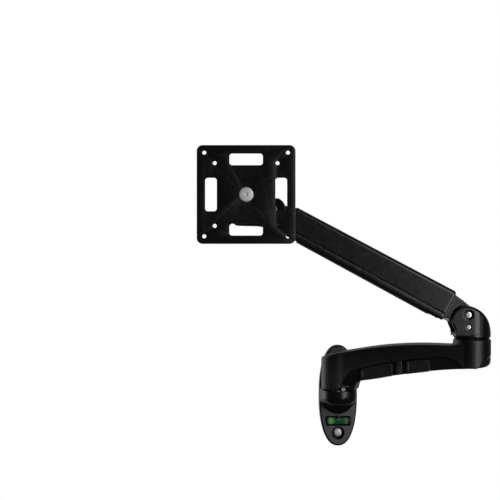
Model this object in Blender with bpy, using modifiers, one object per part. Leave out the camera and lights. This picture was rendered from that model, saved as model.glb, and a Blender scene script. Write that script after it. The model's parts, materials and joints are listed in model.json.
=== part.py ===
"""Wall-mounted monitor arm: wall bracket, extension arm, gas-spring arm and tilting screen head.

Sizes are in millimetres and are turned into metres where meshes are made. +Z is up. The origin is
the middle of the bracket's back face, which lies on the wall (the plane Y = 0), and the arm stands
out from it towards -Y. Each moving group hangs on an empty whose origin is on the group's own axis.
"""

import math

import bmesh
import bpy
from mathutils import Matrix, Vector

MM = 0.001

# Wall bracket
PLATE_HALF_WIDTH = 24.6
PLATE_HALF_HEIGHT = 65.0
PLATE_SQUARENESS = 2.3
PLATE_THICKNESS = 12.0
HUB_OFFSET = 39.0
BRACKET_HUB_RADIUS = 22.1
BRACKET_TOP = 10.3
BRACKET_BOTTOM = -5.5
HUB_ROUNDING = 9.0
SCREW_HEIGHT = 48.0
LEVEL_HEIGHT = -32.7

# Extension arm
EXTENSION_LENGTH = 166.0
EXTENSION_YAW = -14.5
HUB_RADIUS = 23.2
BEAM_HALF = 22.0
EXTENSION_BOTTOM = 11.0
ELBOW_LOW = 42.8
ELBOW_TOP = 78.8
WEB_HALF = 17.0
CHANNEL_HALF = 13.5
BOLT_RADIUS = 7.0
STOP_PLACE = (7.7, 12.9)  # along the arm and up, of the stop screw in the collar

# Gas-spring arm: the two lift pivots, the parallel link under them and the strut between
PIVOT_X = 8.0
PIVOT_HEIGHT = 108.8
SPRING_LENGTH = 270.0
SPRING_PITCH = 28.6
LINK_DROP = 15.0
ANCHOR = (-2.0, -14.8)
STRUT_FAR = (190.0, 0.0)
KNUCKLE_BOTTOM = 79.4
SLOT_FLOOR = 86.0
SLOT_HALF = 17.0
SHELL_HALF = 22.0
SHELL_LOW = -22.5
SHELL_HIGH = 18.0
CYLINDER_RADIUS = 8.0
ROD_RADIUS = 3.0
CYLINDER_START = 35.0

# Screen head
PAN_REACH = 34.0
PAN_BOSS_RADIUS = 18.0
SCREEN_RISE = 16.25
TILT_REACH = 28.0
PLATE_REACH = 24.5
VESA_HALF = 59.0
VESA_THICKNESS = 3.0

ROUND = 40


def clear_scene():
    for obj in list(bpy.data.objects):
        bpy.data.objects.remove(obj, do_unlink=True)


def collection(name, shown=True):
    made = bpy.data.collections.new(name)
    bpy.context.scene.collection.children.link(made)
    made.hide_render = not shown
    return made


clear_scene()
PARTS = collection("monitor_arm")
CUTTERS = collection("cutters", shown=False)


# ---------------------------------------------------------------- materials

def material(name, colour, roughness, metallic=0.0):
    made = bpy.data.materials.new(name)
    made.use_nodes = True
    shader = made.node_tree.nodes["Principled BSDF"]
    shader.inputs["Base Color"].default_value = (*colour, 1.0)
    shader.inputs["Roughness"].default_value = roughness
    shader.inputs["Metallic"].default_value = metallic
    return made


BLACK_PAINT = material("black_paint", (0.012, 0.012, 0.013), 0.32)
MATTE_PAINT = material("matte_paint", (0.045, 0.046, 0.047), 0.6)
BLACK_PLASTIC = material("black_plastic", (0.015, 0.015, 0.016), 0.4)
STEEL = material("steel", (0.55, 0.55, 0.56), 0.35, 1.0)
ZINC = material("zinc", (0.78, 0.78, 0.78), 0.28, 1.0)
NYLON = material("nylon", (0.75, 0.74, 0.7), 0.55)
ACRYLIC = material("acrylic", (0.7, 0.9, 0.75), 0.08)
GREEN_FLUID = material("green_fluid", (0.12, 0.55, 0.16), 0.1)


# ------------------------------------------------------------------- frames

def frame(name, origin, turn=None, parent=None):
    """An empty on a group's axis. turn is a rotation matrix."""
    empty = bpy.data.objects.new(name, None)
    empty.empty_display_size = 0.02
    PARTS.objects.link(empty)
    matrix = Matrix.Translation(Vector(origin) * MM)
    if turn is not None:
        matrix = matrix @ turn
    if parent:
        empty.parent = parent
    empty.matrix_local = matrix
    return empty


def rotation(degrees, axis):
    return Matrix.Rotation(math.radians(degrees), 4, axis)


YAW = math.radians(EXTENSION_YAW)
PITCH = math.radians(SPRING_PITCH)
ELBOW_X = EXTENSION_LENGTH * math.cos(YAW)
ELBOW_Y = -HUB_OFFSET + EXTENSION_LENGTH * math.sin(YAW)
END_X = ELBOW_X - PIVOT_X - SPRING_LENGTH * math.cos(PITCH)
END_HEIGHT = PIVOT_HEIGHT + SPRING_LENGTH * math.sin(PITCH)
PAN_X = END_X - PAN_REACH
SCREEN_HEIGHT = END_HEIGHT + SCREEN_RISE

HALF_TURN = rotation(180, "Z")
RAISED = rotation(SPRING_PITCH, "Y") @ HALF_TURN
# The strut's two ends seen from the spring arm, and the angle its line makes with that arm.
ROD_EYE = (
    ANCHOR[0] * math.cos(PITCH) + ANCHOR[1] * math.sin(PITCH),
    ANCHOR[1] * math.cos(PITCH) - ANCHOR[0] * math.sin(PITCH),
)
STRUT_LENGTH = math.hypot(STRUT_FAR[0] - ROD_EYE[0], STRUT_FAR[1] - ROD_EYE[1])
STRUT_ANGLE = math.degrees(math.atan2(STRUT_FAR[1] - ROD_EYE[1], STRUT_FAR[0] - ROD_EYE[0]))

WALL = frame("wall_frame", (0, 0, 0))
EXTENSION = frame("extension_frame", (0, -HUB_OFFSET, 0), rotation(EXTENSION_YAW, "Z"))
ELBOW = frame("elbow_frame", (ELBOW_X, ELBOW_Y, 0), HALF_TURN)
SPRING = frame("spring_frame", (ELBOW_X - PIVOT_X, ELBOW_Y, PIVOT_HEIGHT), RAISED)
LINK = frame("link_frame", (ELBOW_X - PIVOT_X, ELBOW_Y, PIVOT_HEIGHT - LINK_DROP), RAISED)
STRUT = frame("strut_frame", (STRUT_FAR[0], 0, STRUT_FAR[1]), rotation(-STRUT_ANGLE, "Y"), parent=SPRING)
END = frame("end_frame", (END_X, ELBOW_Y, END_HEIGHT), HALF_TURN)
HEAD = frame("head_frame", (PAN_X, ELBOW_Y, SCREEN_HEIGHT))
TILT = frame("tilt_frame", (PAN_X, ELBOW_Y - TILT_REACH, SCREEN_HEIGHT))


# ------------------------------------------------------------- shape helpers

def place(obj, home, at=(0, 0, 0), turn=None):
    """Puts an object in its frame, with its own place and turn there, in millimetres."""
    PARTS.objects.link(obj)
    obj.parent = home
    matrix = Matrix.Translation(Vector(at) * MM)
    obj.matrix_local = matrix @ turn if turn is not None else matrix
    return obj


def mesh_object(name, bm, smooth=True):
    mesh = bpy.data.meshes.new(name)
    bm.to_mesh(mesh)
    bm.free()
    if smooth:
        mesh.shade_smooth()
        mesh.set_sharp_from_angle(angle=math.radians(32))
    return bpy.data.objects.new(name, mesh)


ALONG_X = rotation(90, "Y")
ALONG_Y = rotation(-90, "X")


def cylinder(name, home, radius, low, high, at=(0, 0), axis="Z", sides=ROUND, top_radius=None):
    """A cylinder from low to high along an axis of its frame.

    at is its place on the other two axes, in X, Y, Z order.
    """
    bm = bmesh.new()
    bmesh.ops.create_cone(
        bm,
        cap_ends=True,
        segments=sides,
        radius1=radius * MM,
        radius2=(radius if top_radius is None else top_radius) * MM,
        depth=(high - low) * MM,
    )
    middle = (low + high) / 2
    a, b = at
    where = {"X": (middle, a, b), "Y": (a, middle, b), "Z": (a, b, middle)}[axis]
    turn = {"X": ALONG_X, "Y": ALONG_Y, "Z": None}[axis]
    return place(mesh_object(name, bm), home, where, turn)


def box(name, home, low, high):
    bm = bmesh.new()
    bmesh.ops.create_cube(bm, size=1.0)
    size = Vector(high) - Vector(low)
    bmesh.ops.scale(bm, vec=size * MM, verts=bm.verts)
    return place(mesh_object(name, bm, smooth=False), home, (Vector(low) + Vector(high)) / 2)


def turned(name, home, profile, at=(0, 0, 0), axis="Z", sides=ROUND, ring=False):
    """A turned piece from (radius, height) points that run down its outer side.

    A ring's profile is a closed loop.
    """
    mesh = bpy.data.meshes.new(name)
    points = [(r * MM, 0.0, z * MM) for r, z in profile]
    edges = [(i, i + 1) for i in range(len(points) - 1)]
    if ring:
        edges.append((len(points) - 1, 0))
    mesh.from_pydata(points, edges, [])
    obj = bpy.data.objects.new(name, mesh)
    screw = obj.modifiers.new("turn", "SCREW")
    screw.axis = "Z"
    screw.steps = screw.render_steps = sides
    screw.use_merge_vertices = True
    screw.merge_threshold = 0.00001
    screw.use_smooth_shade = False
    turn = {"X": ALONG_X, "Y": ALONG_Y}.get(axis)
    return place(obj, home, at, turn)


def baked(obj):
    """The same object with its modifiers or curve made into one clean mesh."""
    bpy.context.view_layer.update()
    graph = bpy.context.evaluated_depsgraph_get()
    mesh = bpy.data.meshes.new_from_object(obj.evaluated_get(graph))
    bm = bmesh.new()
    bm.from_mesh(mesh)
    bmesh.ops.remove_doubles(bm, verts=bm.verts, dist=0.000002)
    bmesh.ops.dissolve_limit(bm, angle_limit=math.radians(0.5), verts=bm.verts, edges=bm.edges)
    bm.to_mesh(mesh)
    bm.free()
    mesh.name = obj.name
    made = bpy.data.objects.new(obj.name, mesh)
    for users in obj.users_collection:
        users.objects.link(made)
    made.parent = obj.parent
    made.matrix_local = obj.matrix_local
    name = obj.name
    bpy.data.objects.remove(obj, do_unlink=True)
    made.name = name
    return made


SIDE = rotation(90, "X")


def prism(name, home, outline, low, high, view="plan"):
    """A flat outline made thick, between low and high.

    "plan" is drawn in X, Y and stands along Z; "side" is drawn in X, Z and stands along Y; "section"
    is drawn in Y, Z and stands along X.
    """
    curve = bpy.data.curves.new(name, "CURVE")
    curve.dimensions = "2D"
    curve.fill_mode = "BOTH"
    curve.extrude = (high - low) / 2 * MM
    spline = curve.splines.new("POLY")
    spline.points.add(len(outline) - 1)
    for point, (a, b) in zip(spline.points, outline):
        point.co = (a * MM, b * MM, 0.0, 1.0)
    spline.use_cyclic_u = True
    obj = bpy.data.objects.new(name, curve)
    middle = (low + high) / 2
    where, turn = {
        "plan": ((0, 0, middle), None),
        "side": ((0, middle, 0), SIDE),
        "section": ((middle, 0, 0), Matrix(((0, 0, 1, 0), (1, 0, 0, 0), (0, 1, 0, 0), (0, 0, 0, 1)))),
    }[view]
    return baked(place(obj, home, where, turn))


def join(target, *tools, how="UNION"):
    """Adds a Boolean for each tool. The tools become cutters: wires that aren't part of the model."""
    for tool in tools:
        modifier = target.modifiers.new(f"{how.lower()}_{tool.name}", "BOOLEAN")
        modifier.operation = how
        modifier.object = tool
        for users in list(tool.users_collection):
            users.objects.unlink(tool)
        CUTTERS.objects.link(tool)
        tool.hide_render = True
        tool.display_type = "WIRE"
    return target


def cut(target, *tools):
    return join(target, *tools, how="DIFFERENCE")


def keep(target, *tools):
    return join(target, *tools, how="INTERSECT")


def soften(obj, width, segments=2, angle=35):
    """Rounds an object's sharp edges."""
    bevel = obj.modifiers.new("soften", "BEVEL")
    bevel.width = width * MM
    bevel.segments = segments
    bevel.limit_method = "ANGLE"
    bevel.angle_limit = math.radians(angle)
    return obj


def finish(obj, finish_material):
    obj.data.materials.clear()
    obj.data.materials.append(finish_material)
    return obj


# ------------------------------------------------------------ outline helpers

def arc(centre, radius, start, end, steps):
    """Points along an arc, from one angle to another, in degrees."""
    angles = [math.radians(start + (end - start) * i / steps) for i in range(steps + 1)]
    return [(centre[0] + radius * math.cos(a), centre[1] + radius * math.sin(a)) for a in angles]


def oval(half_width, half_height, squareness, steps):
    """A superellipse round the origin."""
    points = []
    for i in range(steps):
        angle = 2 * math.pi * i / steps
        c, s = math.cos(angle), math.sin(angle)
        points.append((
            half_width * math.copysign(abs(c) ** (2 / squareness), c),
            half_height * math.copysign(abs(s) ** (2 / squareness), s),
        ))
    return points


def smooth_line(points, steps=3):
    """A Catmull-Rom curve through a few points."""
    ends = [points[0], *points, points[-1]]
    line = []
    for a, b, c, d in zip(ends, ends[1:], ends[2:], ends[3:]):
        for i in range(steps):
            t = i / steps
            line.append(tuple(
                0.5 * (2 * b[k] + (c[k] - a[k]) * t + (2 * a[k] - 5 * b[k] + 4 * c[k] - d[k]) * t * t
                       + (3 * b[k] - a[k] - 3 * c[k] + d[k]) * t ** 3)
                for k in range(2)
            ))
    return [*line, points[-1]]


def rounded_box(low, high, radii, steps=3):
    """A rectangle with its own radius at each corner: low right, high right, high left, low left."""
    (x0, y0), (x1, y1) = low, high
    a, b, c, d = radii
    return [
        *arc((x1 - a, y0 + a), a, -90, 0, steps),
        *arc((x1 - b, y1 - b), b, 0, 90, steps),
        *arc((x0 + c, y1 - c), c, 90, 180, steps),
        *arc((x0 + d, y0 + d), d, 180, 270, steps),
    ]


def loft(name, home, stations, steps=3):
    """A body drawn through rounded rectangles along X. A station is (x, half width, low, high, radius)."""
    bm = bmesh.new()
    rings = []
    for x, half, low, high, radius in stations:
        r = min(radius, half * 0.98, (high - low) * 0.49)
        ring = rounded_box((-half, low), (half, high), (r, r, r, r), steps)
        rings.append([bm.verts.new((x * MM, y * MM, z * MM)) for y, z in ring])
    for one, two in zip(rings, rings[1:]):
        for i in range(len(one)):
            j = (i + 1) % len(one)
            bm.faces.new((one[i], one[j], two[j], two[i]))
    bm.faces.new(list(reversed(rings[0])))
    bm.faces.new(rings[-1])
    bmesh.ops.recalc_face_normals(bm, faces=bm.faces)
    return place(mesh_object(name, bm), home)


def between(points, x):
    """The height of a line of points at x."""
    for (x0, z0), (x1, z1) in zip(points, points[1:]):
        if x <= x1:
            return z0 + (z1 - z0) * max(0.0, x - x0) / (x1 - x0)
    return points[-1][1]


def eased(distance, radius):
    """How far a rounded edge has dropped at this distance in from the rim."""
    if distance >= radius:
        return 0.0
    return radius - math.sqrt(max(0.0, radius ** 2 - (radius - distance) ** 2))


# -------------------------------------------------------------- wall bracket

plate = prism("wall_bracket", WALL, oval(PLATE_HALF_WIDTH, PLATE_HALF_HEIGHT, PLATE_SQUARENESS, 72),
              -PLATE_THICKNESS, 0, view="side")
soften(plate, 1.6, 2, 60)
neck = prism("neck", WALL, [
    (24.0, -3.0), *arc((0, -HUB_OFFSET), BRACKET_HUB_RADIUS, 0, -180, 24), (-24.0, -3.0),
], BRACKET_BOTTOM, BRACKET_TOP + 2 * HUB_ROUNDING)
soften(neck, HUB_ROUNDING, 4, 60)
keep(neck, box("neck_trim", WALL, (-30, -70, BRACKET_BOTTOM - 1), (30, -3, BRACKET_TOP)))
under = prism("under_neck", WALL, [
    (-3, -4), (-33, -4), *smooth_line([(-30, BRACKET_BOTTOM), (-22, -8.2), (-16, -14), (-12, -22.3)], 3),
    (-3, -26),
], -30, 30, view="section")
keep(under, prism("under_front", WALL, [(20 * math.cos(a), -4 + 19 * math.sin(a)) for a in (
    math.radians(180 + 180 * i / 16) for i in range(17))], -40, 0, view="side"))
join(plate, neck, under)
pocket = prism("level_pocket", WALL, rounded_box((-16, LEVEL_HEIGHT - 6.15), (16, LEVEL_HEIGHT + 6.15),
                                                 (2.5, 2.5, 2.5, 2.5), 4), -30.0, -5.0, view="side")
cut(plate, pocket)
for side in (-1, 1):
    z = side * SCREW_HEIGHT
    cut(plate,
        prism(f"screw_recess_{side}", WALL, [*arc((0, z), 8.0, -50, 230, 24), (0, z - 10.2)], -30, -4,
              view="side"),
        cylinder(f"screw_hole_{side}", WALL, 2.9, -10, 3, (0, z), "Y", 20))
cut(plate,
    cylinder("bracket_bore", WALL, 8.8, -20, 20, (0, -HUB_OFFSET)),
    cylinder("bracket_counterbore", WALL, 13.5, -20, 1.5, (0, -HUB_OFFSET)),
    cylinder("bracket_washer_seat", WALL, 16.0, 9.3, 20, (0, -HUB_OFFSET)))
finish(baked(plate), MATTE_PAINT)

vial = turned("level_vial", WALL, [
    (0, 12.2), (3.2, 12.2), (4.2, 11.2), (4.2, -11.2), (3.2, -12.2), (0, -12.2),
], (0, -10.4, LEVEL_HEIGHT), "X", 24)
cut(vial, cylinder("vial_bore", WALL, 2.9, -20, 20, (-10.4, LEVEL_HEIGHT), "X", 20))
finish(baked(vial), ACRYLIC)
finish(cylinder("level_fluid", WALL, 2.7, -10.2, 10.2, (-10.4, LEVEL_HEIGHT), "X", 20), GREEN_FLUID)
for name, x in (("left", -12.6), ("right", 12.6)):
    sign = math.copysign(1, x)
    cap = cylinder(f"level_cap_{name}", WALL, 5.0, min(x, x + sign * 2.2), max(x, x + sign * 2.2),
                   (-10.4, LEVEL_HEIGHT), "X", 24)
    finish(cap, BLACK_PLASTIC)
for name, side in (("upper", 1), ("lower", -1)):
    z = side * SCREW_HEIGHT
    screw = turned(f"wall_screw_{name}", WALL, [
        (0, 2.9), (1.6, 2.9), (3.4, 2.5), (4.7, 1.5), (5.3, 0.0), (5.3, -0.6), (2.5, -0.6), (2.5, -5.2),
        (2.1, -5.6), (0, -5.6),
    ], (0, -5.9, z), None, 28)
    screw.matrix_local = Matrix.Translation(Vector((0, -5.9, z)) * MM) @ rotation(90, "X")
    slots = []
    for turn in (0, 90):
        bar = box(f"slot_{name}_{turn}", WALL, (-3.0, -1.6, -0.55), (3.0, 1.6, 0.55))
        bar.matrix_local = (Matrix.Translation(Vector((0, -9.0, z)) * MM) @ rotation(turn + 20, "Y"))
        slots.append(bar)
    cut(screw, *slots)
    finish(baked(screw), ZINC)
    washer = turned(f"wall_washer_{name}", WALL, [(7.2, 0.5), (7.2, -0.5), (2.9, -0.5), (2.9, 0.5)],
                    (0, -4.7, z), "Y", 28, ring=True)
    finish(baked(washer), ZINC)


def ring(name, home, inner, outer, low, high, at=(0, 0), sides=ROUND, paint=NYLON):
    """A washer or sleeve standing on Z."""
    middle = (low + high) / 2
    half = (high - low) / 2
    made = turned(name, home, [(outer, half), (outer, -half), (inner, -half), (inner, half)],
                  (at[0], at[1], middle), "Z", sides, ring=True)
    return finish(baked(made), paint)


ring("wall_bush", WALL, 7.3, 8.5, 1.8, 9.0, (0, -HUB_OFFSET))
ring("wall_thrust_washer", WALL, 7.4, 15.7, 9.45, 10.75, (0, -HUB_OFFSET))
finish(cylinder("wall_hub_cap", WALL, 13.2, -5.4, -4.0, (0, -HUB_OFFSET)), BLACK_PLASTIC)

# ------------------------------------------------------------- extension arm

TOP_LINE = [(-23.3, 52.5), (-19, 53.7), (-8.6, 56.5), (3, 59.3), (22.6, 62.9), (42, 66.2), (61, 69.2),
            (80, 70.3), (99, 71.2), (118, 71.3), (137, 70.8), (140, 71.4), (142.4, 73.6), (144, 74.0),
            (190, 74.0)]
LOW_LINE = [(-23.3, EXTENSION_BOTTOM), (21.5, EXTENSION_BOTTOM), (24.5, 21.5), (30, 24.7), (48.8, 27.6),
            (67.5, 31.2), (86, 34.2), (104.6, 36.8), (123, 39.4), (141, 41.1), (153, 41.8), (166, ELBOW_LOW),
            (190, ELBOW_LOW)]
ARCH = [(4, 19.5), (9, 27.5), (15, 34), (23.6, 38.5), (30, 40.2), (42.5, 43.9), (56, 46.7), (71.6, 49.7),
        (93.5, 52.5), (112, 54.5), (125.4, 56.0), (139, 55.3), (149, 51.4), (154.5, 45.3), (156.5, 41.0)]

stations = []
for degrees in (4, 10, 18, 27, 37, 48, 60, 75, 90):
    a = math.radians(degrees)
    inset = HUB_RADIUS * (1 - math.cos(a))
    stations.append((-HUB_RADIUS * math.cos(a), HUB_RADIUS * math.sin(a), EXTENSION_BOTTOM,
                     between(TOP_LINE, -HUB_RADIUS * math.cos(a)) - eased(inset, 3.0), 3.0))
for s in (7.4, 14, 21.5, 22.6, 24.5, 30, 42, 55, 67.5, 80, 92, 104.6, 118, 130, 137, 140, 142.4, 144,
          150, 158.6):
    half = math.sqrt(HUB_RADIUS ** 2 - s ** 2) if s < 7.5 else BEAM_HALF
    stations.append((s, max(half, BEAM_HALF), between(LOW_LINE, s), between(TOP_LINE, s), 3.0))
for degrees in (90, 75, 60, 48, 37, 27, 18, 10, 4):
    a = math.radians(degrees)
    x = EXTENSION_LENGTH + HUB_RADIUS * math.cos(a)
    stations.append((x, (HUB_RADIUS - 0.4) * math.sin(a), between(LOW_LINE, x), 74.0, 1.2))
casting = loft("extension_casting", EXTENSION, stations)
elbow_ring = cylinder("elbow_ring", EXTENSION, HUB_RADIUS, ELBOW_LOW + 0.2, ELBOW_TOP, (EXTENSION_LENGTH, 0),
                      sides=64)
join(casting, elbow_ring)

recess = [(4, 5), (4, 19.5), *smooth_line(ARCH[1:-1], 2), (156.5, 38), (156.5, 5)]
for side in (-1, 1):
    low, high = sorted((side * WEB_HALF, side * 40))
    cut(casting, prism(f"recess_{side}", EXTENSION, recess, low, high, view="side"))


def raised(points, dz):
    return [(x, z + dz) for x, z in points]


channel_top = raised(ARCH[3:-2], -1.5)
near = [(24.5, 0), (24.5, 36.5), *[p for p in channel_top if 24.5 < p[0] < 74], (75.2, 48.6), (75.2, 0)]
far = [(79.4, 0), (79.4, 49.2), *[p for p in channel_top if 80 < p[0] < 140], (143.5, 50), (143.5, 0)]
cut(casting,
    prism("channel_near", EXTENSION, near, -CHANNEL_HALF, CHANNEL_HALF, view="side"),
    prism("channel_far", EXTENSION, far, -CHANNEL_HALF, CHANNEL_HALF, view="side"))
for name, start, end in (("near", 29.5, 70.5), ("far", 86.5, 116.5)):
    skirt = [(start, between(LOW_LINE, start) + 3.2), (end, between(LOW_LINE, end) + 3.2),
             (end, 5), (start, 5)]
    cut(casting, prism(f"clip_seat_{name}", EXTENSION, skirt, -40, 40, view="side"))
rib = prism("cross_rib", EXTENSION, [
    (74.8, between(LOW_LINE, 75) + 0.4), (79.8, between(LOW_LINE, 80) + 0.4), (79.8, 51.0), (74.8, 50.4),
], -20.4, 20.4, view="side")
collar = cylinder("collar", EXTENSION, 20.0, EXTENSION_BOTTOM + 0.2, 17.9, top_radius=22.6, sides=64)
join(casting, rib, collar)
cut(casting,
    cylinder("wall_bore", EXTENSION, BOLT_RADIUS + 0.3, 0, 39),
    cylinder("stop_hole", EXTENSION, 2.3, -40, -10, STOP_PLACE, "Y", 16),
    box("stop_notch", EXTENSION, (STOP_PLACE[0] - 3.4, -40, 9), (STOP_PLACE[0] + 3.4, -17.4, 15.4)),
    cylinder("elbow_bore", EXTENSION, 9.4, 30, 90, (EXTENSION_LENGTH, 0)),
    cylinder("elbow_counterbore", EXTENSION, 15.0, 30, 58.2, (EXTENSION_LENGTH, 0)),
    cylinder("elbow_washer_seat", EXTENSION, 15.5, 77.7, 90, (EXTENSION_LENGTH, 0)))
CORNER = [(EXTENSION_LENGTH + 8.0, 42.8), (EXTENSION_LENGTH + 36, 70.8), (EXTENSION_LENGTH + 36, 20),
          (EXTENSION_LENGTH + 8.0, 20)]
cut(casting, prism("elbow_corner", EXTENSION, CORNER, -40, 40, view="side"))
finish(baked(casting), BLACK_PAINT)

for name, start, end in (("near", 30, 70), ("far", 87, 116)):
    top = [p for p in ARCH if start < p[0] < end]
    outline = [
        (start, between(LOW_LINE, start)), (end, between(LOW_LINE, end)), (end, between(ARCH, end) - 1.3),
        *raised(reversed(top), -1.3), (start, between(ARCH, start) - 1.3),
    ]
    floor = [(x, between(LOW_LINE, x) + 2.4) for x in (start - 0.1, end + 0.1)]
    low_z = [*floor, (end + 0.1, 90), (start - 0.1, 90)]
    clip = prism(f"cable_clip_{name}", EXTENSION, outline, -20.5, 20.5, view="side")
    soften(clip, 0.8, 2, 60)
    cut(clip, prism(f"clip_inside_{name}", EXTENSION, low_z, -WEB_HALF - 0.4, WEB_HALF + 0.4, view="side"))
    finish(baked(clip), BLACK_PLASTIC)

bolt = turned("wall_pivot_bolt", EXTENSION, [
    (0, 36), (5.8, 36), (BOLT_RADIUS, 34.8), (BOLT_RADIUS, 0.0), (10.8, 0.0), (10.8, -2.6), (10.0, -3.5),
    (0, -3.5),
])
cut(bolt, cylinder("wall_bolt_socket", EXTENSION, 4.6, -10, -0.6, sides=6))
finish(baked(bolt), STEEL)
ring("wall_bolt_washer", EXTENSION, 7.3, 12.2, 0.25, 1.2, paint=STEEL)
stop = cylinder("stop_screw", EXTENSION, 2.0, -18.6, -10.4, STOP_PLACE, "Y", 16)
cut(stop, cylinder("stop_socket", EXTENSION, 1.0, -30, -16.8, STOP_PLACE, "Y", 6))
finish(baked(stop), ZINC)
ring("elbow_bush", EXTENSION, 7.3, 9.1, 58.6, 77.4, (EXTENSION_LENGTH, 0))
ring("elbow_thrust_washer", EXTENSION, 7.4, 15.2, 77.95, 79.2, (EXTENSION_LENGTH, 0))

cap = turned("elbow_cap", EXTENSION, [
    (0, 70), (HUB_RADIUS - 0.3, 70), (HUB_RADIUS - 0.3, 52), (22.2, 48.6), (20.4, 45.8), (17.6, 43.7),
    (14.4, 42.9), (0, 42.9),
], (EXTENSION_LENGTH, 0, 0), sides=48)
wedge = prism("cap_wedge", EXTENSION, [
    (EXTENSION_LENGTH + 8.6, 42.9), (EXTENSION_LENGTH + 36.6, 70.9), (EXTENSION_LENGTH + 36, 20),
    (EXTENSION_LENGTH + 8.6, 20)], -40, 40, view="side")
keep(cap, wedge)
join(cap, cylinder("cap_plug", EXTENSION, 14.6, 42.9, 45.6, (EXTENSION_LENGTH, 0)))
finish(baked(cap), BLACK_PLASTIC)

# -------------------------------------------------------------- elbow knuckle

stations = []
dome = (13.9, 84.1, 36.5)
for degrees in (4, 10, 18, 27, 37, 48, 60, 75, 90):
    a = math.radians(degrees)
    x = -23.0 * math.cos(a)
    reach = min(1.0, (dome[0] - x) / dome[2])
    high = dome[1] + dome[2] * math.sin(math.acos(reach))
    stations.append((x, 23.0 * math.sin(a), KNUCKLE_BOTTOM, max(high, 88.0), 4.5))
stations[-1] = (0.0, 22.5, KNUCKLE_BOTTOM, stations[-1][3], 4.5)
for x in (6, 12, 16, 20):
    high = dome[1] + dome[2] * math.sin(math.acos((dome[0] - x) / dome[2]))
    high -= eased(28.0 - x, 15.0)
    stations.append((x, 22.5 if x < 14 else 22.0, KNUCKLE_BOTTOM, high, 4.5))
for x, low, high in ((22.8, KNUCKLE_BOTTOM, 114.6), (24.0, 90.0, 113.3), (26, 93.5, 110.6),
                     (27.6, 98, 106.6)):
    stations.append((x, 22.0, low, high, 4.0))
knuckle = loft("elbow_knuckle", ELBOW, stations)
base = cylinder("knuckle_base", ELBOW, 23.0, KNUCKLE_BOTTOM, 84.0, sides=64)
join(knuckle, base)
cut(knuckle,
    box("knuckle_slot", ELBOW, (-3.2, -SLOT_HALF, SLOT_FLOOR), (60, SLOT_HALF, 140)),
    box("knuckle_pocket", ELBOW, (-15.2, -9.5, SLOT_FLOOR), (0, 9.5, 104.9)),
    cylinder("knuckle_bore", ELBOW, BOLT_RADIUS + 0.25, 70, 90),
    cylinder("knuckle_head_seat", ELBOW, 10.6, 82.0, 90),
    cylinder("tension_hole", ELBOW, 3.4, 100, 130, (-8.5, 0), sides=24),
    cylinder("lift_hole_lower", ELBOW, 4.2, -40, 40, (PIVOT_X, PIVOT_HEIGHT), "Y", 24),
    cylinder("link_hole_lower", ELBOW, 3.2, -40, 40, (PIVOT_X, PIVOT_HEIGHT - LINK_DROP), "Y", 20))
finish(baked(knuckle), BLACK_PAINT)

bolt = turned("elbow_bolt", ELBOW, [
    (0, 85.5), (9.6, 85.5), (10.3, 84.8), (10.3, 82.3), (BOLT_RADIUS, 82.3), (BOLT_RADIUS, 48.6),
    (6.2, 47.8),
    (0, 47.8),
])
cut(bolt, cylinder("elbow_bolt_socket", ELBOW, 4.6, 83.0, 95, sides=6))
finish(baked(bolt), STEEL)
nut = prism("elbow_nut", ELBOW, arc((0, 0), 12.0, 0, 300, 5), 49.4, 55.6)
cut(nut, cylinder("elbow_nut_bore", ELBOW, BOLT_RADIUS + 0.25, 40, 60))
finish(baked(nut), STEEL)
ring("elbow_spring_washer", ELBOW, 7.3, 13.6, 55.9, 57.9, paint=STEEL)


def pin(name, home, at, half, radius, sides=24):
    """A plain steel pin across the arm."""
    made = turned(name, home, [(0, half), (radius, half), (radius, -half), (0, -half)],
                  (at[0], 0, at[1]), "Y", sides)
    return finish(baked(made), STEEL)


pin("lift_pin_lower", ELBOW, (PIVOT_X, PIVOT_HEIGHT), 21.6, 3.9)
for name, side in (("front", 1), ("rear", -1)):
    stub = turned(f"link_pin_lower_{name}", ELBOW, [(0, 6.2), (2.9, 6.2), (2.9, -6.2), (0, -6.2)],
                  (PIVOT_X, side * 15.4, PIVOT_HEIGHT - LINK_DROP), "Y", 20)
    finish(baked(stub), STEEL)

# The tension screw turns in the knuckle's roof and carries the block that holds the strut's near end.
screw = turned("tension_screw", ELBOW, [
    (0, 112.4), (3.0, 112.4), (3.0, 104.6), (5.6, 104.6), (5.6, 102.0), (3.0, 102.0), (3.0, 88.0), (0, 88.0),
], (-8.5, 0, 0), sides=24)
cut(screw, cylinder("tension_socket", ELBOW, 1.9, 108.6, 120, (-8.5, 0), sides=6))
finish(baked(screw), STEEL)
ax, az = PIVOT_X + ANCHOR[0], PIVOT_HEIGHT + ANCHOR[1]
block = box("strut_slider", ELBOW, (-14.6, -8.6, az - 5.2), (ax + 4.8, 8.6, az + 5.2))
soften(block, 1.2, 2, 60)
cut(block,
    box("slider_fork", ELBOW, (-2.4, -5.2, az - 20), (40, 5.2, az + 20)),
    cylinder("slider_thread", ELBOW, 3.3, 80, 120, (-8.5, 0), sides=24),
    cylinder("slider_pin_hole", ELBOW, 2.8, -40, 40, (ax, az), "Y", 20))
finish(baked(block), STEEL)
pin("slider_pin", ELBOW, (ax, az), 8.4, 2.5, 20)

# ------------------------------------------------------------ gas-spring arm

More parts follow.
